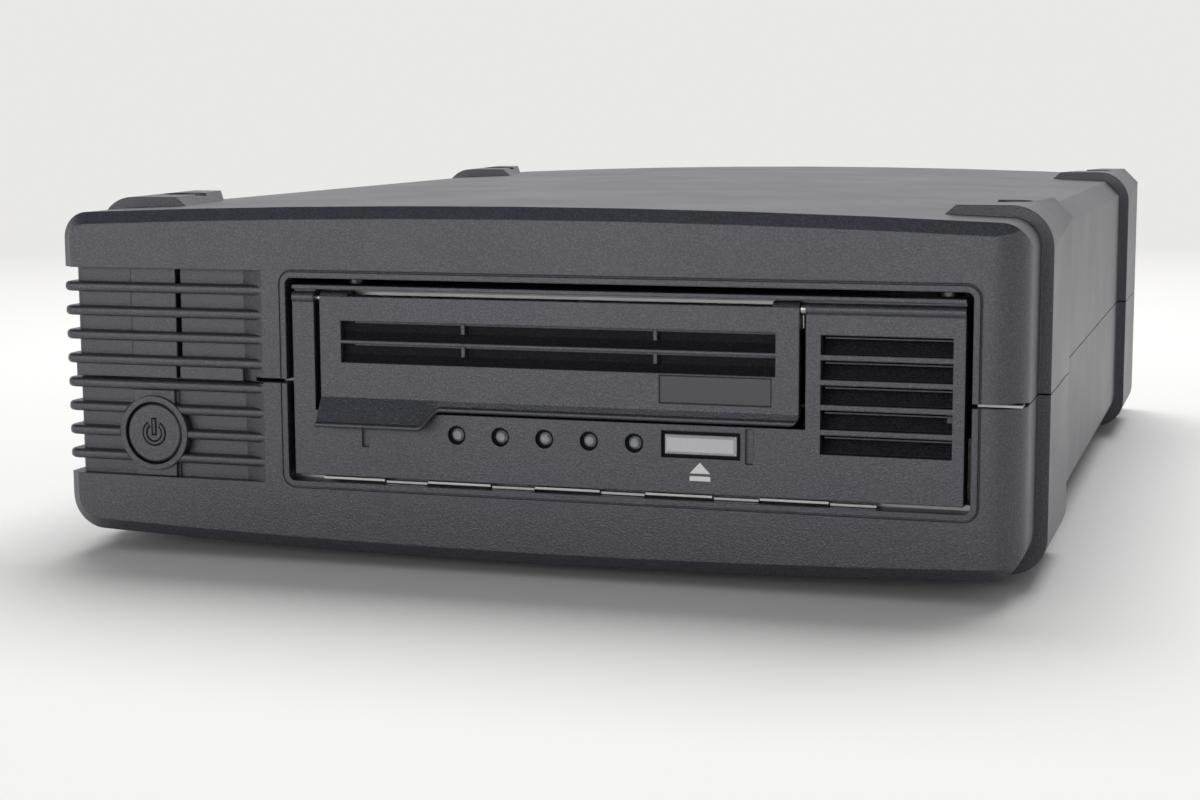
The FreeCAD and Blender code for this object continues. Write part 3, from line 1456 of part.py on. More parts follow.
def build_chassis():
    half = "chassis_half"
    low = "chassis_rise"
    blank = drive_box("chassis_blank", (f"-{half}", half), ("bezel_depth", "chassis_end"),
                      (low, f"{low} + chassis_height - sheet"))
    inside = drive_box("chassis_inside", (f"-{half} + sheet", f"{half} - sheet"),
                       ("bezel_depth - 1", "chassis_end - sheet"),
                       (f"{low} + sheet", f"{low} + chassis_height + 1"))
    side_holes = [rod(f"chassis_side_hole_{i}", "X", place, ("-band_out", "band_out"),
                      "small_screw") for i, place in enumerate(MOUNT_HOLES)]
    tray = cut("chassis_tray", blank, [inside] + side_holes)
    posts = [rod(f"chassis_post_{i}", "Z", place, ("chassis_z + sheet / 2", "deck_z"), "post_radius")
             for i, place in enumerate(DECK_SCREWS)]
    tabs = []
    for i, (a, b) in enumerate(CORNERS):
        x = (f"{half} - sheet - tab_size", f"{half} - sheet / 2")
        if a < 0:
            x = (f"-{half} + sheet / 2", f"-{half} + sheet + tab_size")
        y = ("tab_front", "tab_front + tab_size")
        if b > 0:
            y = ("chassis_end - sheet - tab_size", "chassis_end - sheet / 2")
        tabs.append(drive_box(f"chassis_tab_{i}", x, y, ("lid_under - 2 * sheet", "lid_under")))
    holes = [rod(f"post_bore_{i}", "Z", place, ("deck_z - deck_low + 2 * sheet", "deck_z + 1"),
                 "small_screw") for i, place in enumerate(DECK_SCREWS)]
    holes += [rod(f"tab_bore_{i}", "Z", place, ("chassis_top_z - 4 * sheet", "chassis_top_z + 1"),
                  "small_screw") for i, place in enumerate(LID_SCREWS)]
    node("drive_chassis", cut("drive_chassis", fuse("chassis_with_posts", [tray] + posts + tabs),
                              holes))
    lid = drive_box("lid_blank", (f"-{half}", half), ("bezel_depth", "chassis_end"),
                    ("lid_under", "lid_under + sheet"))
    lid_holes = [rod(f"lid_hole_{i}", "Z", place, ("chassis_top_z - 2 * sheet", "chassis_top_z + 1"),
                     "small_screw") for i, place in enumerate(LID_SCREWS)]
    node("drive_lid", cut("drive_lid", lid, lid_holes))
    deck = drive_box("deck_blank", (f"-{half} + sheet + panel_gap", f"{half} - sheet - panel_gap"),
                     ("deck_front", "chassis_end - sheet - panel_gap"),
                     ("deck_rise", "deck_rise + deck_thick"))
    deck_holes = [rod(f"deck_hole_{i}", "Z", place, ("deck_z - 1", "deck_top_z + 1"), "small_screw")
                  for i, place in enumerate(DECK_SCREWS)]
    deck_holes += [rod(f"deck_seat_{i}", "Z", place, ("deck_top_z - low_head_height", "deck_top_z + 1"),
                       "small_head + panel_gap") for i, place in enumerate(DECK_SCREWS)]
    for tag, place in (("supply", CHUCK), ("takeup", REEL)):
        deck_holes.append(rod(f"deck_{tag}_hole", "Z", place, ("deck_z - 1", "deck_top_z + 1"),
                              "shaft_radius + running_gap"))
    node("tape_deck", cut("tape_deck", deck, deck_holes))
    node("drive_screws", group("drive_screws", all_screws(
        "lid_screw", LID_SCREWS, "chassis_top_z", "small_screw - screw_gap", "small_head",
        "low_head_height", "3 * sheet") + all_screws(
        "deck_screw", DECK_SCREWS, "deck_top_z - low_head_height", "small_screw - screw_gap",
        "small_head", "low_head_height", "deck_thick + 3")))
    board = drive_box("main_board_blank", ("board_left", "board_right"), ("board_front", "board_back"),
                      ("board_rise", "board_rise + board_thick"))
    feet = [drive_box(f"main_board_foot_{i}", ("board_left", "board_right"),
                      (y, f"{y} + board_thick"), ("floor_lift", "board_rise"))
            for i, y in enumerate(("board_front", "board_back - board_thick"))]
    chips = [drive_box(f"main_chip_{i}",
                       (f"board_left + {x} * chip_grid", f"board_left + {x + size} * chip_grid"),
                       (f"board_front + {y} * chip_grid", f"board_front + {y + size} * chip_grid"),
                       ("board_rise + board_thick / 2", "board_rise + board_thick + chip_rise"))
             for i, (x, y, size) in enumerate(((5, 10, 9), (17, 12, 6), (7, 30, 6), (18, 45, 8)))]
    node("main_board", fuse("main_board", [board] + feet + chips))


LID_SCREWS = [(f"drive_x + {a} * (chassis_half - sheet - tab_size / 2)",
               "front_y + tab_front + tab_size / 2" if b < 0
               else "chassis_back_y - sheet - tab_size / 2") for a, b in CORNERS]

DECK_SCREWS = [(f"drive_x + {a} * deck_screw_x", f"front_y + {y}")
               for a in (-1, 1) for y in ("deck_screw_front", "deck_screw_back")]

CHUCK = ("drive_x - bay_centre", "front_y + chuck_y")

REEL = ("drive_x + reel_x", "front_y + reel_y")

ROLLERS = [("roller_a_x", "roller_a_y"), ("roller_b_x", "roller_b_y"), ("roller_c_x", "roller_c_y"),
           ("roller_d_x", "roller_d_y")]


def build_transport():
    spindle = "deck_top_z + running_gap"
    for name, place, top in (("supply_motor", CHUCK, f"{spindle} + chuck_height"),
                             ("takeup_motor", REEL, f"{spindle} + reel_height")):
        node(name, fuse(name, [
            rod(name + "_can", "Z", place, ("deck_z - motor_height", "deck_z"), "motor_radius"),
            rod(name + "_shaft", "Z", place, ("deck_z - 1", top), "shaft_radius"),
        ]))
    bore = "shaft_radius + shaft_gap"
    rim = "chuck_radius"
    node("supply_chuck", turned("supply_chuck", [
        (bore, "0"), (rim, "0"), (rim, "chuck_height - chuck_step"),
        (f"{rim} - chuck_step", "chuck_height - chuck_step"), (f"{rim} - chuck_step", "chuck_height"),
        (bore, "chuck_height"),
    ], (*CHUCK, spindle)))
    node("takeup_reel", turned("takeup_reel", [
        (bore, "0"), ("reel_radius", "0"), ("reel_radius", "reel_flange"),
        ("reel_hub", "reel_flange"), ("reel_hub", "reel_height - reel_flange"),
        ("reel_radius", "reel_height - reel_flange"), ("reel_radius", "reel_height"),
        (bore, "reel_height"),
    ], (*REEL, spindle)))
    shafts = []
    for i, (x, y) in enumerate(ROLLERS, start=1):
        place = (f"drive_x + {x}", f"front_y + {y}")
        flange = "roller_rim"
        node(f"guide_roller_{i}", turned(f"guide_roller_{i}", [
            (bore, "0"), ("roller_flange", "0"), ("roller_flange", flange), ("roller_radius", flange),
            ("roller_radius", f"roller_height - {flange}"),
            ("roller_flange", f"roller_height - {flange}"), ("roller_flange", "roller_height"),
            (bore, "roller_height"),
        ], (*place, spindle)))
        shafts.append(rod(f"guide_shaft_{i}", "Z", place, ("deck_top_z", f"{spindle} + roller_height + 1"),
                          "shaft_radius"))
    node("guide_shafts", group("guide_shafts", shafts))
    x = ("head_x - head_width / 2 - head_side", "head_x + head_width / 2 + head_side")
    y_back = "head_y + head_depth / 2 + running_gap * 2"
    low = "deck_rise + deck_thick"
    base = [
        drive_box("head_floor", x, ("head_y - head_depth / 2", f"{y_back} + head_plate"),
                  (low, f"{low} + head_plate")),
        drive_box("head_back", x, (y_back, f"{y_back} + head_plate"), (low, f"{low} + head_tall")),
        drive_box("head_roof", x, ("head_y - head_depth / 2", f"{y_back} + head_plate"),
                  (f"{low} + head_tall - head_plate", f"{low} + head_tall")),
    ]
    guides = []
    bores = []
    for side in (-1, 1):
        place = (f"drive_x + head_x + {side} * head_guide_x", "front_y + head_y")
        span = ("deck_top_z + head_plate / 2", "deck_top_z + head_tall - head_plate / 2")
        guides.append(rod(f"head_guide_{side}", "Z", place, span, "guide_pin"))
        bores.append(rod(f"head_bore_{side}", "Z", place, span, "guide_pin + shaft_gap"))
    node("head_base", fuse("head_base", base + guides))
    head = drive_box("head_block", ("head_x - head_width / 2", "head_x + head_width / 2"),
                     ("head_y - head_depth / 2", "head_y + head_depth / 2"),
                     (f"{low} + head_plate + head_travel + running_gap",
                      f"{low} + head_tall - head_plate - head_travel - running_gap"))
    node("tape_head", cut("tape_head", head, bores))


def build_loader():
    v = value
    tray_x = ("-bay_centre - tray_half", "tray_half - bay_centre")
    tray_y = ("tray_front", "tray_front + tray_length")
    tray = fuse("tray_blank", [
        drive_box("tray_floor", tray_x, tray_y, ("tray_low", "tray_low + tray_wall")),
        drive_box("tray_left", (tray_x[0], f"{tray_x[0]} + tray_wall"), tray_y,
                  ("tray_low", "tray_low + tray_rim")),
        drive_box("tray_right", (f"{tray_x[1]} - tray_wall", tray_x[1]), tray_y,
                  ("tray_low", "tray_low + tray_rim")),
    ])
    window = box("tray_window", (f"{CHUCK[0]} - chuck_window", f"{CHUCK[0]} + chuck_window"),
                 (f"{CHUCK[1]} - chuck_window", f"{CHUCK[1]} + chuck_window"),
                 ("tray_z - 1", "tray_z + tray_wall + 1"))
    pins = [rod(f"tray_pin_{i}", "X", (y, "tray_z + guide_lift"),
                (f"drive_x + {tray_x[1]} - tray_wall / 2",
                 f"drive_x + {tray_x[1]} + slider_gap + slider_thick + slider_gap"), "guide_pin")
            for i, y in enumerate(GUIDE_PINS)]
    node("cartridge_carrier", fuse("cartridge_carrier", [cut("tray_open", tray, [window])] + pins))
    inner = f"{tray_x[1]} + slider_gap"
    outer = f"{inner} + slider_thick"
    plate = drive_box("slide_plate", (inner, outer),
                      ("tray_front + slider_start", "tray_front + slider_start + slider_length"),
                      ("deck_rise + deck_thick + running_gap", "slider_high"))
    z = "tray_z + guide_lift"
    clear = "(guide_pin + running_gap)"
    slots = []
    for i, y in enumerate(GUIDE_PINS):
        outline = [
            (f"{y} + {clear}", f"{z} - {clear}"),
            (f"{y} + {clear}", f"{z} + {clear} + load_ease"),
            (f"{y} - load_slide - {clear}", f"{z} - load_drop + {clear}"),
            (f"{y} - load_slide - {clear}", f"{z} - load_drop - {clear} - load_ease"),
        ]
        slots.append(padded(f"slide_slot_{i}", "YZ_Plane", f"drive_x + {inner} - 1",
                            f"drive_x + {outer} + 1", [outline]))
    slide = cut("slide_with_slots", plate, slots)
    rack_x = f"drive_x + {outer}"
    half_pitch = "tooth_module * 1.5708"
    teeth = []
    for i in range(int(v.rack_count)):
        y = f"front_y + pinion_y + ({i} - (rack_count - 1) / 2 + 0.5) * 2 * {half_pitch}"
        root = f"({half_pitch} / 2 - tooth_gap / 2 + tooth_module * 0.45)"
        tip = f"({half_pitch} / 2 - tooth_gap / 2 - tooth_module * 0.36)"
        teeth.append([(f"{rack_x} - slider_thick / 2", f"{y} - {root}"),
                      (f"{rack_x} + tooth_module * 2.25", f"{y} - {tip}"),
                      (f"{rack_x} + tooth_module * 2.25", f"{y} + {tip}"),
                      (f"{rack_x} - slider_thick / 2", f"{y} + {root}")])
    gear_low = "deck_top_z + running_gap"
    rack = padded("slide_rack", "XY_Plane", gear_low, f"{gear_low} + gear_face", teeth[:1])
    racks = [rack] + [padded(f"slide_rack_{i}", "XY_Plane", gear_low, f"{gear_low} + gear_face", [tooth])
                      for i, tooth in enumerate(teeth[1:], start=1)]
    node("loader_slide", fuse("loader_slide", [slide] + racks))
    centre = (f"{rack_x} + tooth_module * 1.25 + tooth_module * pinion_teeth / 2",
              "front_y + pinion_y")
    node("loader_pinion", feature("loader_pinion", pinion_shape()))
    shaft = rod("gearmotor_shaft", "Z", centre, ("deck_top_z", "drive_z + gearmotor_low + 1"),
                "pinion_shaft")
    can = rod("gearmotor_can", "Z", centre, ("drive_z + gearmotor_low", "drive_z + gearmotor_high"),
              "gearmotor_radius")
    post_x = f"{centre[0]} + tooth_module * (pinion_teeth / 2 + 1) + running_gap * 3"
    arm = box("gearmotor_arm", (centre[0], f"{post_x} + bracket_thick"),
              (f"{centre[1]} - bracket_half", f"{centre[1]} + bracket_half"),
              ("drive_z + gearmotor_low + 1", "drive_z + gearmotor_low + 1 + gearmotor_arm"))
    leg = box("gearmotor_leg", (post_x, f"{post_x} + bracket_thick"),
              (f"{centre[1]} - bracket_half", f"{centre[1]} + bracket_half"),
              ("deck_top_z", "drive_z + gearmotor_low + 1 + gearmotor_arm"))
    node("loader_gearmotor", fuse("loader_gearmotor", [shaft, can, arm, leg]))


def pinion_shape():
    v = value
    m = v.tooth_module
    teeth = int(v.pinion_teeth)
    radius = m * teeth / 2
    low = v.deck_top_z + v.running_gap
    centre = Vector(v.drive_x - v.bay_centre + v.tray_half + v.slider_gap + v.slider_thick
                    + m * 1.25 + radius, v.front_y + v.pinion_y, low)
    quarter = (math.pi * m / 2 - v.tooth_gap) / 2
    points = []
    for k in range(teeth):
        middle = math.pi + k * 2 * math.pi / teeth
        for r, half in ((radius - 1.25 * m, quarter + 0.45 * m), (radius + m, quarter - 0.36 * m)):
            spread = half / r
            order = (-spread, spread) if r > radius else (-spread,)
            points += [(r, middle + s) for s in order]
        points.append((radius - 1.25 * m, middle + (quarter + 0.45 * m) / (radius - 1.25 * m)))
    corners = [centre + Vector(r * math.cos(a), r * math.sin(a), 0) for r, a in points]
    disc = Part.Face(Part.makePolygon(corners + corners[:1])).extrude(Vector(0, 0, v.gear_face))
    return disc.cut(Part.makeCylinder(v.pinion_shaft + v.shaft_gap, v.gear_face + 2,
                                      centre - Vector(0, 0, 1)))


GUIDE_PINS = ["front_y + tray_front + slider_start + guide_front",
              "front_y + tray_front + slider_start + guide_front + guide_pitch"]


# ------------------------------------------------------------------ supply, fan and rear connectors

FAN_SCREWS = [(f"fan_x + {a} * fan_screw_pitch / 2", f"axis_z + {b} * fan_screw_pitch / 2")
              for a, b in CORNERS]

INLET_SCREWS = [(f"inlet_x + {side} * inlet_screw_pitch / 2", "inlet_z") for side in (-1, 1)]

PANEL_SCREWS = [(f"{a} * panel_tab_x", f"part_z + {b} * panel_tab_rise") for a, b in CORNERS]

PORTS = [f"port_x + {side} * port_pitch / 2" for side in (-1, 1)]


def build_rear():
    v = value
    inset = v.case_wall + v.panel_gap
    outline = case_section(v.panel_y, inset, inset, v.bottom_round - inset,
                           v.edge_chamfer - inset * BEVEL_SHIFT)
    blank = feature("panel_blank", along_y(outline, v.panel_thick))
    through = ("panel_y - 1", "rear_y")
    cuts = [rod(f"panel_hole_{i}", "Y", place, through, "small_screw")
            for i, place in enumerate(FAN_SCREWS + INLET_SCREWS + PANEL_SCREWS)]
    cuts.append(box("inlet_hole", ("inlet_x - inlet_width / 2 - panel_gap",
                                   "inlet_x + inlet_width / 2 + panel_gap"), through,
                    ("inlet_z - inlet_height / 2 - panel_gap", "inlet_z + inlet_height / 2 + panel_gap")))
    for i, x in enumerate(PORTS):
        cuts.append(box(f"port_hole_{i}", (f"{x} - port_width / 2 - panel_gap",
                                           f"{x} + port_width / 2 + panel_gap"), through,
                        ("port_z - port_height / 2 - panel_gap", "port_z + port_height / 2 + panel_gap")))
    rings = []
    for i in range(3):
        outer = f"fan_bore - {i} * (grille_ring + ring_web)"
        rings.append(cut(f"grille_ring_{i}",
                         rod(f"grille_outer_{i}", "Y", ("fan_x", "axis_z"), through, outer),
                         [rod(f"grille_inner_{i}", "Y", ("fan_x", "axis_z"), through,
                              f"{outer} - grille_ring")]))
    spokes = [box("spoke_flat", ("fan_x - fan_bore - 1", "fan_x + fan_bore + 1"), through,
                  ("axis_z - ring_web / 2", "axis_z + ring_web / 2")),
              box("spoke_tall", ("fan_x - ring_web / 2", "fan_x + ring_web / 2"), through,
                  ("axis_z - fan_bore - 1", "axis_z + fan_bore + 1"))]
    cuts.append(cut("grille_openings", fuse("grille_rings", rings), spokes))
    node("rear_panel", cut("rear_panel", blank, cuts))
    outside = "panel_y + panel_thick"
    node("panel_screws", group("panel_screws", rear_screws(
        "panel_screw", PANEL_SCREWS + FAN_SCREWS, outside, "screw_length") + rear_screws(
        "inlet_screw", INLET_SCREWS, f"{outside} + inlet_flange_thick", "screw_length")))
    build_fan()
    build_inlet()
    build_ports()
    build_supply()


def build_fan():
    v = value
    centre = ("fan_x", "axis_z")
    front = "panel_y - fan_depth"
    frame = box("fan_block", ("fan_x - fan_size / 2", "fan_x + fan_size / 2"), (front, "panel_y"),
                ("axis_z - fan_size / 2", "axis_z + fan_size / 2"))
    tunnel = rod("fan_tunnel", "Y", centre, (f"{front} - 1", "panel_y + 1"), "fan_bore")
    corner_holes = [rod(f"fan_hole_{i}", "Y", place, ("panel_y - 9", "panel_y + 1"), "small_screw")
                    for i, place in enumerate(FAN_SCREWS)]
    struts_y = ("panel_y - fan_wall", "panel_y")
    hub = [rod("fan_hub_plate", "Y", centre, struts_y, "fan_hub"),
           rod("fan_axle", "Y", centre, (f"{front} + 3", "panel_y - 1"), "shaft_radius"),
           box("fan_strut_flat", ("fan_x - fan_bore - 1", "fan_x + fan_bore + 1"), struts_y,
               ("axis_z - ring_web", "axis_z + ring_web")),
           box("fan_strut_tall", ("fan_x - ring_web", "fan_x + ring_web"), struts_y,
               ("axis_z - fan_bore - 1", "axis_z + fan_bore + 1"))]
    node("fan_frame", fuse("fan_frame", [cut("fan_shell", frame, [tunnel] + corner_holes)] + hub))
    back = v.panel_y - v.fan_wall - v.running_gap
    low = v.panel_y - v.fan_depth + 2
    axis = Vector(0, 1, 0)
    middle = Vector(v.fan_x, low, v.axis_z)
    rotor = Part.makeCylinder(v.fan_hub, back - low, middle, axis)
    for i in range(int(v.fan_blades)):
        blade = Part.makeBox(v.blade_thick, back - low - 2, v.fan_bore - 0.5 - v.fan_hub / 2,
                             Vector(v.fan_x, low + 1, v.axis_z + v.fan_hub / 2))
        blade.rotate(Vector(v.fan_x, (low + back) / 2, v.axis_z), Vector(0, 0, 1), v.blade_pitch)
        blade.rotate(middle, axis, i * 360 / v.fan_blades)
        rotor = rotor.fuse(blade)
    reach = Part.makeCylinder(v.fan_bore - v.running_gap * 2, back - low, middle, axis)
    bore = Part.makeCylinder(v.shaft_radius + v.shaft_gap, back - low + 2, middle - axis, axis)
    node("fan_rotor", feature("fan_rotor", rotor.common(reach).cut(bore).removeSplitter()))


def build_inlet():
    outside = "panel_y + panel_thick"
    rim = f"{outside} + inlet_flange_thick"
    body = box("inlet_body", ("inlet_x - inlet_width / 2", "inlet_x + inlet_width / 2"),
               (f"{rim} - inlet_depth", outside),
               ("inlet_z - inlet_height / 2", "inlet_z + inlet_height / 2"))
    flange = box("inlet_flange_plate", ("inlet_x - inlet_flange / 2", "inlet_x + inlet_flange / 2"),
                 (outside, rim), ("inlet_z - inlet_height / 2 - 1", "inlet_z + inlet_height / 2 + 1"))
    wall = "inlet_wall"
    socket = box("inlet_socket", (f"inlet_x - inlet_width / 2 + {wall}",
                                  f"inlet_x + inlet_width / 2 - {wall}"),
                 (f"{rim} - inlet_socket", f"{rim} + 1"),
                 (f"inlet_z - inlet_height / 2 + {wall}", f"inlet_z + inlet_height / 2 - {wall}"))
    holes = [rod(f"inlet_hole_{i}", "Y", place, (f"{outside} - 1", f"{rim} + 1"), "small_screw")
             for i, place in enumerate(INLET_SCREWS)]
    pins = [box(f"inlet_pin_{i}", (f"inlet_x + {i} * pin_pitch - pin_thick / 2",
                                   f"inlet_x + {i} * pin_pitch + pin_thick / 2"),
                (f"{rim} - inlet_depth - 4", f"{rim} - pin_set"),
                (f"inlet_z + {rise} - pin_wide / 2", f"inlet_z + {rise} + pin_wide / 2"))
            for i, rise in ((-1, "0"), (0, "pin_rise"), (1, "0"))]
    slots = [box(f"inlet_pin_slot_{i}", (f"inlet_x + {i} * pin_pitch - pin_thick / 2",
                                         f"inlet_x + {i} * pin_pitch + pin_thick / 2"),
                 (f"{rim} - inlet_depth - 4", f"{rim} - pin_set"),
                 (f"inlet_z + {rise} - pin_wide / 2", f"inlet_z + {rise} + pin_wide / 2"))
             for i, rise in ((-1, "0"), (0, "pin_rise"), (1, "0"))]
    node("power_inlet", cut("power_inlet", fuse("inlet_blank", [body, flange]),
                            [socket] + holes + slots))
    node("inlet_pins", group("inlet_pins", pins))


def build_ports():
    rim = "panel_y + panel_thick + port_proud"
    shells = []
    for i, x in enumerate(PORTS):
        can = box(f"port_can_{i}", (f"{x} - port_width / 2", f"{x} + port_width / 2"),
                  (f"{rim} - port_depth", rim), ("port_z - port_height / 2", "port_z + port_height / 2"))
        cavity = box(f"port_cavity_{i}", (f"{x} - port_width / 2 + port_wall",
                                          f"{x} + port_width / 2 - port_wall"),
                     (f"{rim} - port_depth + 3", f"{rim} + 1"),
                     ("port_z - port_height / 2 + port_wall", "port_z + port_height / 2 - port_wall"))
        tongue = box(f"port_tongue_{i}", (f"{x} - port_width / 2 + 3 * port_wall",
                                          f"{x} + port_width / 2 - 3 * port_wall"),
                     (f"{rim} - port_depth + 2", f"{rim} - tongue_set"),
                     ("port_z - port_wall", "port_z + port_wall"))
        shells.append(fuse(f"port_{i}", [cut(f"port_shell_{i}", can, [cavity]), tongue]))
    node("data_ports", group("data_ports", shells))
    under = "port_z - port_height / 2"
    board = box("port_board_blank", ("port_x - port_board_half", "port_x + port_board_half"),
                ("panel_y - port_board_depth", "panel_y - panel_gap"),
                (f"{under} - board_thick", under))
    holes = [rod(f"port_board_hole_{i}", "Z", place, (f"{under} - board_thick - 1", f"{under} + 1"),
                 "small_screw") for i, place in enumerate(PORT_SCREWS)]
    node("data_port_board", cut("data_port_board", board, holes))


PORT_SCREWS = [(f"port_x + {side} * (port_board_half - board_edge)",
                "panel_y - port_board_depth + board_edge") for side in (-1, 1)]


def build_supply():
    board = box("supply_blank", ("supply_x - supply_width / 2", "supply_x + supply_width / 2"),
                ("supply_y", "supply_y + supply_length"), ("supply_z", "supply_z + board_thick"))
    holes = [rod(f"supply_hole_{i}", "Z", place, ("supply_z - 1", "supply_z + board_thick + 1"),
                 "small_screw") for i, place in enumerate(SUPPLY_SCREWS)]
    node("power_supply_board", cut("power_supply_board", board, holes))
    node("board_screws", group("board_screws", all_screws(
        "supply_screw", SUPPLY_SCREWS, "supply_z + board_thick", "small_screw - screw_gap",
        "small_head", "small_head_height", "board_thick + screw_length") + all_screws(
        "port_screw", PORT_SCREWS, "port_z - port_height / 2", "small_screw - screw_gap",
        "small_head", "small_head_height", "board_thick + screw_length") + rear_screws(
        "switch_board_screw", SWITCH_SCREWS, "switch_y + board_thick", "screw_length")))
    top = "supply_z + board_thick"
    node("transformer", fuse("transformer", [
        box("transformer_core", ("supply_x - core_half", "supply_x + core_half"),
            ("core_y", "core_y + core_length"), (top, f"{top} + core_height")),
        box("transformer_coil",
            ("supply_x - core_half + coil_margin", "supply_x + core_half - coil_margin"),
            ("core_y - coil_margin", "core_y + core_length + coil_margin"),
            (f"{top} + coil_margin", f"{top} + core_height - coil_margin")),
    ]))
    node("supply_capacitors", group("supply_capacitors", [
        rod(f"capacitor_{i}", "Z", ("supply_x", f"supply_y + capacitor_start + {i} * capacitor_pitch"),
            (top, f"{top} + capacitor_height"), "capacitor_radius")
        for i in range(int(value.capacitor_count))]))
    fins = [box("sink_plate", ("supply_x - core_half", "supply_x + core_half"),
                ("sink_y", "sink_y + sink_length"), (top, f"{top} + sink_base"))]
    fins += [box(f"sink_fin_{i}", (f"supply_x - core_half + {i} * fin_pitch",
                                   f"supply_x - core_half + {i} * fin_pitch + fin_thick"),
                 ("sink_y", "sink_y + sink_length"), (f"{top} + sink_base / 2", f"{top} + sink_height"))
             for i in range(int(value.fin_count))]
    node("heat_sink", fuse("heat_sink", fins))
    near = "supply_y + supply_length"
    back = "chassis_back_y"
    lay = (f"{top} + cable_rise", f"{top} + cable_rise + cable_thick")
    left = "supply_x + cable_shift"
    node("dc_cable", fuse("dc_cable", [
        box("dc_plug", (f"{left} - 2", f"{left} + cable_wide + 2"), (f"{near} - 16", f"{near} - 8"),
            (top, f"{top} + cable_rise + cable_thick + 1")),
        box("dc_run_out", (left, f"{left} + cable_wide"), (f"{near} - 9", f"{back} + cable_reach"), lay),
        box("dc_run_across", (left, "drive_x - dc_end + cable_wide"),
            (f"{back} + cable_reach - cable_wide", f"{back} + cable_reach"), lay),
        box("dc_run_in", ("drive_x - dc_end", "drive_x - dc_end + cable_wide"),
            (f"{back} + 4", f"{back} + cable_reach"), lay),
        box("dc_end_plug", ("drive_x - dc_end - 2", "drive_x - dc_end + cable_wide + 2"),
            (back, f"{back} + 8"), (f"{lay[0]} - 2", f"{lay[1]} + 2")),
    ]))
    floor = "port_z - port_height / 2"
    reach = "panel_y - port_board_depth"
    band = (f"{floor} + cable_rise", f"{floor} + cable_rise + cable_thick / 2")
    span = ("port_x - ribbon_half", "port_x + ribbon_half")
    node("data_cable", fuse("data_cable", [
        box("data_plug", ("port_x - ribbon_half - 1", "port_x + ribbon_half + 1"),
            (f"{reach} + 1", f"{reach} + 8"), (floor, f"{floor} + cable_rise + cable_thick")),
        box("data_run", span, (f"{back} + 4", f"{reach} + 3"), band),
        box("data_end_plug", ("port_x - ribbon_half - 1", "port_x + ribbon_half + 1"),
            (back, f"{back} + 7"), (f"{band[0]} - 2", f"{band[1]} + 2")),
    ]))


# ------------------------------------------------------------------ build, check and write

build_shells()
build_case_hardware()
build_emi()
build_cradle()
build_bezel()
build_door()
build_front_controls()
build_chassis()
build_transport()
build_loader()
build_rear()
DOC.recompute()

for item in DOC.Objects:
    if "Invalid" in item.State or "Error" in item.State:
        raise RuntimeError(f"{item.Label} did not compute: {item.State}")

os.makedirs("parts", exist_ok=True)
for name, item in NODES.items():
    shape = item.Shape
    if shape.isNull() or not shape.isValid():
        raise RuntimeError(f"{name} has no valid shape")
    shape.exportStep(os.path.join("parts", name + ".step"))
print(len(NODES), "sub-parts written")
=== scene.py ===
import json
import math

import bmesh
import bpy
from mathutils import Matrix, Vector


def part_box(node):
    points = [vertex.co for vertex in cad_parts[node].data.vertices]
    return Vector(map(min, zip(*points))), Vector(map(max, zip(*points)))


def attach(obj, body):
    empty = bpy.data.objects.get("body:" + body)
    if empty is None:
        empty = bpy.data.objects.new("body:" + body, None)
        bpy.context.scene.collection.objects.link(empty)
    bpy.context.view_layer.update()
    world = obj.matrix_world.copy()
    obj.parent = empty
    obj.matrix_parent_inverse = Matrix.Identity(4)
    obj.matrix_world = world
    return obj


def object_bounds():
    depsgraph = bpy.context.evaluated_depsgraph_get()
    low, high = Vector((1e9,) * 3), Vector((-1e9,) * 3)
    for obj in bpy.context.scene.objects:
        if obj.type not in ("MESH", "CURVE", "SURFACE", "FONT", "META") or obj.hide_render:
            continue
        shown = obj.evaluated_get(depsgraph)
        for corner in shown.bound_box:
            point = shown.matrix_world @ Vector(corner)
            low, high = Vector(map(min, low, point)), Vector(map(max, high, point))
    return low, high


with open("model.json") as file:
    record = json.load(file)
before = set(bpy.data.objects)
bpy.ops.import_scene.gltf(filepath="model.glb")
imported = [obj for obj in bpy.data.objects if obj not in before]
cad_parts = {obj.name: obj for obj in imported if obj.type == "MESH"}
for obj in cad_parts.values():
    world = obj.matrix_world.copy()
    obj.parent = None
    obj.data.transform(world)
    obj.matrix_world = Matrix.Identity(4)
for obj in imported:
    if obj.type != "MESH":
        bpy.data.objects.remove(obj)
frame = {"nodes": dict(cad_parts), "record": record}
start_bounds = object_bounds()

MM = 0.001
record = frame["record"]
nodes = frame["nodes"]


# ------------------------------------------------------------------ places, from the frame

def low_of(node):
    return Vector(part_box(node)[0])


def high_of(node):
    return Vector(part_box(node)[1])


bezel_low, bezel_high = low_of("drive_bezel"), high_of("drive_bezel")
button_low, button_high = low_of("power_button"), high_of("power_button")
BAR_PROUD = 0.4  # the bezel's bars are its foremost part, this far before its face
FACE_Y = bezel_low.y + BAR_PROUD * MM
BEZEL_X = (bezel_low.x + bezel_high.x) / 2
BEZEL_Z = bezel_low.z


def on_bezel(x, z, y=0.0):
    """A place in millimetres from the bottom centre of the bezel's front face."""
    return Vector((BEZEL_X + x * MM, FACE_Y + y * MM, BEZEL_Z + z * MM))


# ------------------------------------------------------------------ material building blocks

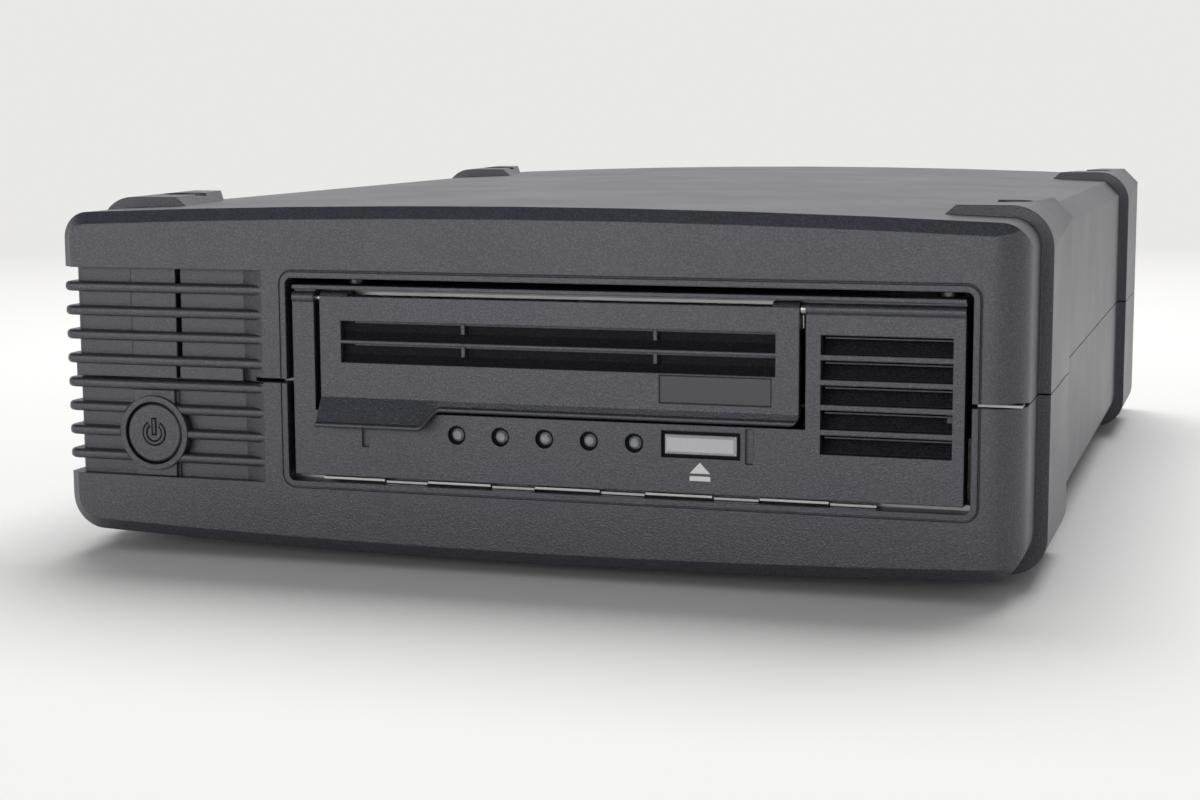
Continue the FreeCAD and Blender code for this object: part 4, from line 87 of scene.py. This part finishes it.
class Nodes:
    """Adds and links the nodes of one tree."""

    def __init__(self, tree):
        self.tree = tree

    def add(self, kind, **settings):
        node = self.tree.nodes.new(kind)
        for key, setting in settings.items():
            if key in node.inputs:
                node.inputs[key].default_value = setting
            else:
                setattr(node, key, setting)
        return node

    def link(self, source, target):
        self.tree.links.new(source, target)

    def feed(self, source, socket):
        """Links an output to the socket, or sets it to a colour or a number."""
        if hasattr(source, "is_output"):
            self.link(source, socket)
        elif isinstance(source, tuple):
            socket.default_value = (*source, 1.0)
        else:
            socket.default_value = source

    def ramp(self, source, low, high, low_at=0.3, high_at=0.7):
        node = self.add("ShaderNodeValToRGB")
        stops = node.color_ramp.elements
        stops[0].position, stops[1].position = low_at, high_at
        stops[0].color, stops[1].color = (*low, 1.0), (*high, 1.0)
        self.link(source, node.inputs["Fac"])
        return node.outputs["Color"]

    def remap(self, source, low, high, low_at=0.3, high_at=0.7):
        node = self.add("ShaderNodeMapRange", **{"From Min": low_at, "From Max": high_at,
                                                 "To Min": low, "To Max": high})
        self.link(source, node.inputs["Value"])
        return node.outputs["Result"]

    def mix(self, factor, first, second):
        """A mix of two colours: the first at 0, the second at 1."""
        node = self.add("ShaderNodeMix", data_type="RGBA")
        factor_socket, first_socket, second_socket = (node.inputs[i] for i in (0, 6, 7))
        self.feed(factor, factor_socket)
        self.feed(first, first_socket)
        self.feed(second, second_socket)
        return node.outputs[2]

    def maths(self, operation, first, second):
        node = self.add("ShaderNodeMath", operation=operation)
        self.feed(first, node.inputs[0])
        self.feed(second, node.inputs[1])
        return node.outputs["Value"]

    def blend(self, factor, first, second):
        """A mix of two shaders: the first at 0, the second at 1."""
        node = self.add("ShaderNodeMixShader")
        self.link(factor, node.inputs[0])
        self.link(first, node.inputs[1])
        self.link(second, node.inputs[2])
        return node.outputs[0]

    def is_seen(self):
        """1 for what the camera sees, straight or in a gloss, and 0 for what lights the object."""
        paths = self.add("ShaderNodeLightPath")
        return self.maths("MAXIMUM", paths.outputs["Is Camera Ray"], paths.outputs["Is Glossy Ray"])


class Shader(Nodes):
    """One node material, with patterns placed by the object's own coordinates."""

    def __init__(self, name):
        self.material = bpy.data.materials.new(name)
        self.material.use_nodes = True
        super().__init__(self.material.node_tree)
        self.surface = self.tree.nodes["Principled BSDF"]
        self.place = self.add("ShaderNodeTexCoord").outputs["Object"]

    def pattern(self, kind, place=None, **settings):
        """A texture node set in place."""
        node = self.add(kind, **settings)
        self.link(place or self.place, node.inputs["Vector"])
        return node

    def stretched(self, scale):
        return self.pattern("ShaderNodeMapping", Scale=scale).outputs["Vector"]

    def noise(self, scale, detail=3.0, roughness=0.55, place=None):
        settings = dict(Scale=scale, Detail=detail, Roughness=roughness)
        return self.pattern("ShaderNodeTexNoise", place, **settings).outputs["Fac"]

    def cells(self, scale):
        return self.pattern("ShaderNodeTexVoronoi", Scale=scale).outputs["Distance"]

    def soft_edges(self, radius, samples=6):
        """A normal that rounds the hard edges off, and a mask that is 1 where they are."""
        bevel = self.add("ShaderNodeBevel", Radius=radius, samples=samples)
        normal = self.add("ShaderNodeNewGeometry").outputs["Normal"]
        likeness = self.add("ShaderNodeVectorMath", operation="DOT_PRODUCT")
        self.link(bevel.outputs["Normal"], likeness.inputs[0])
        self.link(normal, likeness.inputs[1])
        edge_highlight = self.remap(likeness.outputs["Value"], 0.0, 1.0, 0.985, 0.8)
        return bevel.outputs["Normal"], edge_highlight

    def bump(self, heights, normal=None):
        """heights: (source, strength, distance) from the coarsest to the finest."""
        for source, strength, distance in heights:
            node = self.add("ShaderNodeBump", Strength=strength, Distance=distance)
            self.link(source, node.inputs["Height"])
            if normal is not None:
                self.link(normal, node.inputs["Normal"])
            normal = node.outputs["Normal"]
        self.link(normal, self.surface.inputs["Normal"])

    def finish(self, colour, roughness, **constants):
        self.link(colour, self.surface.inputs["Base Color"])
        self.link(roughness, self.surface.inputs["Roughness"])
        for name, constant in constants.items():
            self.surface.inputs[name.replace("_", " ")].default_value = constant
        return self.material


def shade(colour, factor):
    return tuple(min(1.0, part * factor) for part in colour)


PIT_TONE, TIP_TONE, EDGE_HIGHLIGHT_TONE = 0.2, 3.4, 2.0  # times the plastic's own colour; the edge tone is a painted highlight
# painted glints: the colour of the light specks put into the plastic
GLINT_SPECK_COLOUR = (0.12, 0.12, 0.118)


def grained_plastic(name, colour, roughness=0.38, grain=2900.0, depth=0.00004, edge=0.0004,
                    contrast=1.0, specks=0.0, specular=0.8):
    """Moulded plastic: a leathery spark-eroded grain, slow tone changes, a painted highlight along
    the edges, painted glint specks.
    """
    s = Shader(name)
    rounded, edge_highlight = s.soft_edges(edge)
    slow = s.noise(11.0, 4.0)
    pebble = s.cells(grain)
    hide = s.noise(grain * 0.9, 3.0, 0.65)
    fine = s.noise(grain * 2.1, 2.0, 0.6)
    strength = 0.75 * contrast
    tone = s.ramp(slow, shade(colour, 0.93), shade(colour, 1.07))
    pits = s.mix(s.remap(hide, strength, 0.0, 0.34, 0.5), tone, shade(colour, PIT_TONE))
    body = s.mix(s.remap(hide, 0.0, strength, 0.5, 0.68), pits, shade(colour, TIP_TONE))
    if specks:
        # painted glints: light specks scattered through the colour
        glint_specks = s.noise(grain * 0.5, 0.0, 0.5)
        body = s.mix(s.remap(glint_specks, 0.0, specks, 0.80, 0.86), body, GLINT_SPECK_COLOUR)
    # painted highlight: the colour is lightened along the edges that the bevel finds
    body = s.mix(s.maths("MULTIPLY", edge_highlight, 0.4), body, shade(colour, EDGE_HIGHLIGHT_TONE))
    rubbed = s.noise(27.0, 5.0, 0.6)
    rough = s.remap(rubbed, roughness - 0.03, roughness + 0.04)
    s.bump([(hide, 0.9, depth * 2.0), (pebble, 0.8, depth), (fine, 0.5, depth * 0.5)], rounded)
    return s.finish(body, rough, Specular_IOR_Level=specular)


def sheet_metal(name, colour, roughness=0.34, brushed=(1.0, 60.0, 1.0)):
    """Plated sheet: soft spangle, faint rolling lines and stains."""
    s = Shader(name)
    lines = s.noise(90.0, 3.0, 0.6, s.stretched(brushed))
    spangle = s.cells(160.0)
    stain = s.noise(18.0, 4.0)
    tone = s.mix(s.remap(spangle, 0.0, 0.35, 0.1, 0.7), colour, shade(colour, 0.8))
    tone = s.mix(s.remap(stain, 0.0, 0.3), tone, shade(colour, 0.7))
    rough = s.remap(lines, roughness - 0.06, roughness + 0.1)
    s.bump([(stain, 0.06, 0.0002), (lines, 0.08, 0.00003)])
    return s.finish(tone, rough, Metallic=1.0)


def bare_metal(name, colour, roughness=0.22):
    """Turned or drawn metal with fine tool marks."""
    s = Shader(name)
    marks = s.noise(240.0, 3.0, 0.6, s.stretched((1.0, 1.0, 8.0)))
    slow = s.noise(40.0, 3.0)
    tone = s.ramp(slow, shade(colour, 0.82), shade(colour, 1.08))
    rough = s.remap(marks, roughness - 0.05, roughness + 0.12)
    s.bump([(marks, 0.08, 0.00002)])
    return s.finish(tone, rough, Metallic=1.0)


def rubber(name, colour):
    """Dull rubber with a fine, uneven skin."""
    s = Shader(name)
    slow = s.noise(60.0, 4.0)
    fine = s.noise(1500.0, 2.0)
    tone = s.ramp(slow, shade(colour, 0.85), shade(colour, 1.3))
    rough = s.remap(slow, 0.72, 0.86)
    s.bump([(slow, 0.1, 0.0001), (fine, 0.3, 0.00003)])
    return s.finish(tone, rough)


def circuit_board(name, colour):
    """Solder mask over copper tracks."""
    s = Shader(name)
    tracks = s.pattern("ShaderNodeTexBrick", Scale=60.0).outputs["Fac"]
    slow = s.noise(30.0, 4.0)
    tone = s.mix(s.remap(tracks, 0.0, 0.6, 0.0, 1.0), colour, shade(colour, 1.7))
    tone = s.mix(s.remap(slow, 0.0, 0.35), tone, shade(colour, 0.6))
    rough = s.remap(slow, 0.26, 0.4)
    s.bump([(tracks, 0.12, 0.00004)])
    return s.finish(tone, rough)


def smoked_lens(name, colour):
    """The end of an unlit light pipe: dark grey and faceted under a clear coat."""
    s = Shader(name)
    slow = s.noise(700.0, 3.0)
    tone = s.ramp(slow, shade(colour, 0.7), shade(colour, 1.2))
    rough = s.remap(slow, 0.08, 0.2)
    facets = s.cells(1300.0)
    s.bump([(facets, 0.8, 0.0001), (slow, 0.05, 0.00003)])
    return s.finish(tone, rough, Coat_Weight=0.6)


def ink_and_painted_shade(name, colour, specular=0.5):
    """Dull ink, slightly uneven; the same finish also makes a painted shade outline."""
    s = Shader(name)
    edge = s.noise(2600.0, 3.0)
    tone = s.ramp(edge, shade(colour, 0.9), colour)
    rough = s.remap(edge, 0.5, 0.66)
    s.bump([(edge, 0.15, 0.00002)])
    return s.finish(tone, rough, Specular_IOR_Level=specular)


CHARCOAL = (0.0215, 0.0225, 0.0345)

NEAR_SMOOTH = dict(contrast=0.06)

FINISHES = {
    "case_plastic": grained_plastic("case_plastic", CHARCOAL, specks=0.35),
    "bezel_plastic": grained_plastic("bezel_plastic", shade(CHARCOAL, 1.05), specks=0.3),
    "button_grey": grained_plastic("button_grey", (0.52, 0.515, 0.545), 0.42, 2200.0, 0.00001,
                                   **NEAR_SMOOTH),
    "black_plastic": grained_plastic("black_plastic", (0.012, 0.012, 0.013), 0.5, 1800.0,
                                     specular=0.4),
    "natural_plastic": grained_plastic("natural_plastic", (0.55, 0.53, 0.48), 0.4, 1500.0, 0.00002,
                                       **NEAR_SMOOTH),
    # painted shade: a near-black copy of the plastic for slots, wells and recesses that fall into
    # shade
    "slot_black": grained_plastic("slot_black", (0.0050, 0.0052, 0.0068), 0.55, specular=0.12),
    # painted shade: a darker copy of the bezel plastic for the blades deep in the grille
    "louvre": grained_plastic("louvre", (0.0125, 0.013, 0.019), 0.5, specular=0.3),
    "plaque": grained_plastic("plaque", (0.0115, 0.012, 0.0175), 0.34, 4200.0, 0.00001,
                              contrast=0.5),
    "dark_steel": sheet_metal("dark_steel", (0.16, 0.16, 0.165)),
    "frame_steel": sheet_metal("frame_steel", (0.34, 0.34, 0.34)),
    "foot_rubber": rubber("foot_rubber", (0.03, 0.03, 0.031)),
    "plated_steel": sheet_metal("plated_steel", (0.46, 0.46, 0.45)),
    "bright_steel": bare_metal("bright_steel", (0.60, 0.60, 0.60)),
    "screw_steel": bare_metal("screw_steel", (0.38, 0.38, 0.39), 0.3),
    "board_green": circuit_board("board_green", (0.012, 0.09, 0.035)),
    "lens_clear": smoked_lens("lens_clear", (0.25, 0.255, 0.27)),
    "deck_alloy": bare_metal("deck_alloy", (0.62, 0.63, 0.64), 0.32),
    "contact_brass": bare_metal("contact_brass", (0.75, 0.58, 0.28)),
    "cable_jacket": grained_plastic("cable_jacket", (0.035, 0.035, 0.038), 0.4, 1200.0),
}
PRINT = ink_and_painted_shade("print_white", (0.80, 0.80, 0.80))
# painted shade: a near-black mark for the groove round the power symbol
MARK = ink_and_painted_shade("power_mark", (0.003, 0.003, 0.004), 0.1)


def paint(obj, material):
    obj.data.materials.clear()
    obj.data.materials.append(material)


SHADED_STEEL = {"grounding_strip": "dark_steel", "emi_frame": "frame_steel"}  # than their slots' steel: painted shade, as both sit in narrow gaps

for entry in record["subparts"]:
    finish = SHADED_STEEL.get(entry["node"], entry["material_slot"])
    paint(nodes[entry["node"]], FINISHES[finish])


# ------------------------------------------------------------------ printed and moulded marks, and a painted shade outline

def piece(name, points, faces, material, body, place=(0, 0, 0)):
    """One closed mesh that rides on a body."""
    mesh = bpy.data.meshes.new(name)
    mesh.from_pydata(points, [], faces)
    shell = bmesh.new()
    shell.from_mesh(mesh)
    bmesh.ops.recalc_face_normals(shell, faces=shell.faces)
    shell.to_mesh(mesh)
    shell.free()
    obj = bpy.data.objects.new(name, mesh)
    bpy.context.scene.collection.objects.link(obj)
    obj.location = place
    paint(obj, material)
    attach(obj, body)
    return obj


def prism_faces(count):
    """Faces between two rings of points, the first ring's points before the second's."""
    sides = [(i, count + i, count + (i + 1) % count, (i + 1) % count) for i in range(count)]
    return [tuple(range(count)), tuple(reversed(range(count, 2 * count)))] + sides


def flat_piece(name, outline, thick, place, material, body):
    """A thin upright plate facing -Y; outline is (x, z) in millimetres, place its origin."""
    front = [(x * MM, 0.0, z * MM) for x, z in outline]
    back = [(x, thick * MM, z) for x, _, z in front]
    faces = prism_faces(len(outline))
    return piece(name, front + back, faces, material, body, place)


def rectangle(left, right, low, high):
    return [(left, low), (right, low), (right, high), (left, high)]


def arc_band(radius, wide, start, end, steps=28):
    """Outline of a band along an arc, angles in degrees from +X towards +Z."""
    angles = [math.radians(start + (end - start) * i / steps) for i in range(steps + 1)]
    outer = [((radius + wide / 2) * math.cos(a), (radius + wide / 2) * math.sin(a)) for a in angles]
    inner = [((radius - wide / 2) * math.cos(a), (radius - wide / 2) * math.sin(a)) for a in angles]
    return outer + inner[::-1]


EJECT_MARK = dict(x=19.1, half=2.25, triangle_z=5.55, bar_z=3.3, bar_half=0.5)
INK, INK_LIFT = 0.05, 0.03
mark_half, bar_half = EJECT_MARK["half"], EJECT_MARK["bar_half"]
for tag, outline, z in (
        ("triangle", [(-mark_half, -1.15), (mark_half, -1.15), (0, 1.2)], EJECT_MARK["triangle_z"]),
        ("bar", rectangle(-mark_half, mark_half, -bar_half, bar_half), EJECT_MARK["bar_z"])):
    flat_piece(f"eject_mark_{tag}", outline, INK, on_bezel(EJECT_MARK["x"], z, -INK_LIFT), PRINT,
               "enclosure")

# The power symbol: a dark mark a little larger than it, the painted shade of the groove round the
# symbol, and the raised symbol over it.
POWER = dict(radius=2.35, line=0.62, opening=35, bar_low=-0.2, bar_high=3.2)
for tag, grow, lift, finish in (("outline", 0.36, 0.02, MARK),
                                ("raised", 0.0, 0.08, FINISHES["case_plastic"])):
    power_place = Vector(((button_low.x + button_high.x) / 2, button_low.y - lift * MM,
                          (button_low.z + button_high.z) / 2))
    opening = POWER["opening"] - 6 * grow
    ring = arc_band(POWER["radius"], POWER["line"] + 2 * grow, 90 + opening, 450 - opening)
    half = POWER["line"] / 2 + grow
    bar = rectangle(-half, half, POWER["bar_low"] - grow, POWER["bar_high"] + grow)
    for kind, outline in (("ring", ring), ("bar", bar)):
        flat_piece(f"power_{kind}_{tag}", outline, lift, power_place, finish, "power_button")


# ------------------------------------------------------------------ louvres behind the openings

def bar_along_x(name, profile, left, right, material, body):
    """A bar with a (y, z) profile, in millimetres from the bottom centre of the bezel's front."""
    points = [on_bezel(x, z, y) for x in (left, right) for y, z in profile]
    return piece(name, points, prism_faces(len(profile)), material, body)


GRILLE = dict(left=44.75, right=72.0, low=9.65, pitch=5.2, slot=4.05, count=5, skin=2.6)
BLADE = dict(gap=0.02, thick=0.6, back=5.6, rise=0.1, over=0.6)
LIP_INSET = 0.8
# (y, z) with z from the slot's upper edge
LIP_PROFILE = [(0.9, -0.42), (0.9, -0.72), (1.1, -0.8), (1.6, -0.8), (1.6, -0.36)]
for i in range(GRILLE["count"]):
    low = GRILLE["low"] + i * GRILLE["pitch"]
    high = low + GRILLE["slot"]
    front = GRILLE["skin"] + BLADE["gap"]
    back, top = BLADE["back"], high + BLADE["rise"]
    blade = [(front, low - BLADE["thick"]), (front, low), (back, top), (back, top - BLADE["thick"])]
    # painted shade: the blades are darker than the bezel to stand for the shade inside the grille
    bar_along_x(f"grille_blade_{i}", blade, GRILLE["left"] - BLADE["over"],
                GRILLE["right"] + BLADE["over"], FINISHES["louvre"], "enclosure")
    bar_along_x(f"grille_lip_{i}", [(y, high + z) for y, z in LIP_PROFILE],
                GRILLE["left"] + LIP_INSET, GRILLE["right"], FINISHES["bezel_plastic"],
                "enclosure")

DOOR_SLOT = dict(left=-63.5, right=35.8, lows=(25.5, 30.45), height=4.25, front=1.0, back=2.15,
                 thick=0.3, over=0.3)
for i, low in enumerate(DOOR_SLOT["lows"]):
    front, back, over = (DOOR_SLOT[key] for key in ("front", "back", "over"))
    inside = back - DOOR_SLOT["thick"]
    top = low + DOOR_SLOT["height"] + over
    # a back wall with a foot that slopes down to the slot's front edge, near-black as painted shade
    # for the depth of the slot
    floor_profile = [(front, low - over), (back, low - over), (back, top), (inside, top),
                     (inside, low + 1.9), (front, low + 0.05)]
    bar_along_x(f"door_slot_floor_{i}", floor_profile, DOOR_SLOT["left"], DOOR_SLOT["right"],
                FINISHES["slot_black"], "door")


# ------------------------------------------------------------------ recesses round the small parts, with painted shade in the wells

LAMP = dict(first=-35.8, pitch=10.1, lift=10.3, count=5, well=2.05, lens=1.4)
WELL_CLEAR, WELL_DEEP, WELL_THICK = 0.08, 0.8, 0.3
# painted shade: a near-black ring in each well round its lens
for i in range(LAMP["count"]):
    ring = arc_band((LAMP["well"] + LAMP["lens"]) / 2, LAMP["well"] - LAMP["lens"] - WELL_CLEAR,
                    0, 359.5, 48)
    lamp_place = on_bezel(LAMP["first"] + i * LAMP["pitch"], LAMP["lift"], WELL_DEEP)
    flat_piece(f"lamp_well_ring_{i}", ring, WELL_THICK, lamp_place, FINISHES["slot_black"],
               "enclosure")

EJECT = dict(left=11.4, right=27.0, low=8.4, high=12.5, gap=0.8, clear=0.12, deep=0.7, thick=0.4)
left, right = EJECT["left"] - EJECT["clear"], EJECT["right"] + EJECT["clear"]
low, high = EJECT["low"] - EJECT["clear"], EJECT["high"] + EJECT["clear"]
reach = EJECT["gap"] - EJECT["clear"]
# painted shade: near-black strips in the recess round the eject button
for tag, limits in (("left", (left - reach, left, low - reach, high + reach)),
                    ("right", (right, right + reach, low - reach, high + reach)),
                    ("low", (left, right, low - reach, low)),
                    ("high", (left, right, high, high + reach))):
    flat_piece(f"eject_well_{tag}", rectangle(*limits), EJECT["thick"], on_bezel(0, 0, EJECT["deep"]),
               FINISHES["slot_black"], "enclosure")

PLAQUE = dict(left=10.2, right=34.3, low=19.2, high=25.0)
PLAQUE_DEEP, PLAQUE_THICK = 0.2, 0.12
flat_piece("door_plaque", rectangle(**PLAQUE), PLAQUE_THICK, on_bezel(0, 0, PLAQUE_DEEP),
           FINISHES["plaque"], "door")


# ------------------------------------------------------------------ cross recesses in the rear screws, drawn as painted shade

def loose_parts(obj):
    """Low and high corner of every separate shell of a node, in scene coordinates.

    They come from left to right and then upwards, so that each run numbers them alike.
    """
    shell = bmesh.new()
    shell.from_mesh(obj.data)
    bmesh.ops.remove_doubles(shell, verts=shell.verts, dist=0.01 * MM)
    waiting = set(shell.verts)
    parts = []
    for first in shell.verts:
        if first not in waiting:
            continue
        waiting.remove(first)
        stack = [first]
        found = []
        while stack:
            vertex = stack.pop()
            found.append(obj.matrix_world @ vertex.co)
            for edge in vertex.link_edges:
                other = edge.other_vert(vertex)
                if other in waiting:
                    waiting.remove(other)
                    stack.append(other)
        parts.append((Vector([min(p[i] for p in found) for i in range(3)]),
                      Vector([max(p[i] for p in found) for i in range(3)])))
    shell.free()
    return sorted(parts, key=whole_millimetres)


def whole_millimetres(part):
    low, high = part
    return [round(middle / MM) for middle in (low + high) / 2]


def plus_sign(arm, half):
    """Outline of a plus sign; half is half the width of its arms."""
    corner = [(arm, half), (half, half), (half, arm)]
    outline = []
    for _ in range(4):
        outline += corner
        corner = [(-z, x) for x, z in corner]
    return outline


CROSS = dict(arm=1.25, half=0.42)
CROSS_LIFT, CROSS_THICK = 0.1, 0.12
# painted shade: a flat near-black plus sign on each head stands in for its cross recess
for i, (low, high) in enumerate(loose_parts(nodes["panel_screws"])):
    middle = (low + high) / 2
    flat_piece(f"screw_cross_{i}", plus_sign(**CROSS), CROSS_THICK,
               Vector((middle.x, high.y - CROSS_LIFT * MM, middle.z)), FINISHES["slot_black"],
               "enclosure")


# ------------------------------------------------------------------ stage, light and camera

BACKDROP = (0.815, 0.81, 0.80)


FADE_FROM, FADE_TO = 0.38, 1.0  # metres from the middle, where the paper turns into the backdrop


def floor_paper():
    """Pale paper that keeps the shadow near the object and fades to the backdrop far from it."""
    s = Shader("floor_paper")
    slow = s.noise(3.0, 2.0)
    fibre = s.noise(500.0, 2.0)
    tone = s.ramp(slow, (0.86, 0.855, 0.85), (0.875, 0.87, 0.865))
    s.bump([(fibre, 0.1, 0.00005)])
    s.finish(tone, s.remap(slow, 0.85, 0.9), Specular_IOR_Level=0.1)
    reach = s.add("ShaderNodeVectorMath", operation="LENGTH")
    s.link(s.place, reach.inputs[0])
    away = s.remap(reach.outputs["Value"], 0.0, 1.0, FADE_FROM, FADE_TO)
    glow = s.add("ShaderNodeEmission", Color=(*BACKDROP, 1.0), Strength=1.0)
    seen = s.maths("MULTIPLY", away, s.is_seen())
    surface = s.blend(seen, s.surface.outputs[0], glow.outputs[0])
    s.link(surface, s.tree.nodes["Material Output"].inputs["Surface"])
    return s.material


def plane(name, size, place):
    mesh = bpy.data.meshes.new(name)
    half = size / 2
    corners = [(x, y, 0) for x, y in rectangle(-half, half, -half, half)]
    mesh.from_pydata(corners, [], [(0, 1, 2, 3)])
    obj = bpy.data.objects.new(name, mesh)
    bpy.context.scene.collection.objects.link(obj)
    obj.location = place
    return obj


FLOOR_SIZE = 16.0
floor = plane("floor", FLOOR_SIZE, (0, 0, start_bounds[0][2]))
paint(floor, floor_paper())


def lamp(name, place, target, size, power):
    """A soft box: a rectangular lamp turned to its target."""
    data = bpy.data.lights.new(name, "AREA")
    data.shape = "RECTANGLE"
    data.size, data.size_y = size
    data.energy = power
    obj = bpy.data.objects.new(name, data)
    bpy.context.scene.collection.objects.link(obj)
    obj.location = place
    direction = Vector(target) - Vector(place)
    obj.rotation_euler = direction.to_track_quat("-Z", "Y").to_euler()
    return obj


BEHIND = dict(place=(-0.15, 1.6, 2.6), target=(0, 0, 0.04), size=(2.9, 2.2))
# Two lamps in one place, the first unseen in gloss, so that shade and gloss are set one by one.
behind = lamp("behind", power=42.0, **BEHIND)
behind.visible_glossy = False
lamp("behind_gloss", power=80.0, **BEHIND)
lamp("front", (-0.5, -1.7, 0.34), (0, -0.1, 0.04), (1.8, 0.5), 7.5)

AMBIENT, AMBIENT_STRENGTH = (0.95, 0.95, 0.94), 0.31
OVERHEAD = (0.13, 0.13, 0.135)
HORIZON_END, OVERHEAD_START = 0.34, 0.62


def studio_world():
    """Even light on the object; the camera and the gloss see the backdrop, darker overhead."""
    world = bpy.data.worlds.new("studio")
    bpy.context.scene.world = world
    world.use_nodes = True
    sky = Nodes(world.node_tree)
    ambient = sky.tree.nodes["Background"]
    sky.feed(AMBIENT, ambient.inputs["Color"])
    sky.feed(AMBIENT_STRENGTH, ambient.inputs["Strength"])
    heading = sky.add("ShaderNodeTexCoord")
    height = sky.add("ShaderNodeSeparateXYZ")
    sky.link(heading.outputs["Generated"], height.inputs[0])
    fall = sky.ramp(height.outputs["Z"], BACKDROP, OVERHEAD, HORIZON_END, OVERHEAD_START)
    shown = sky.add("ShaderNodeBackground")
    sky.link(fall, shown.inputs["Color"])
    surface = sky.blend(sky.is_seen(), ambient.outputs[0], shown.outputs[0])
    sky.link(surface, sky.tree.nodes["World Output"].inputs["Surface"])


studio_world()

# The camera's lens, place and turn come from a fit to the edges of the bezel and the case.
camera_data = bpy.data.cameras.new("camera")
camera_data.lens = 64.73
camera_data.sensor_width = 36.0
camera_data.clip_start = 0.01
camera = bpy.data.objects.new("camera", camera_data)
bpy.context.scene.collection.objects.link(camera)
camera.location = (0.157034, -0.587701, 0.102159)
camera.rotation_euler = [math.radians(angle) for angle in (82.2337, 0.2481, 17.4679)]
bpy.context.scene.camera = camera
bpy.context.scene.view_settings.view_transform = "Standard"
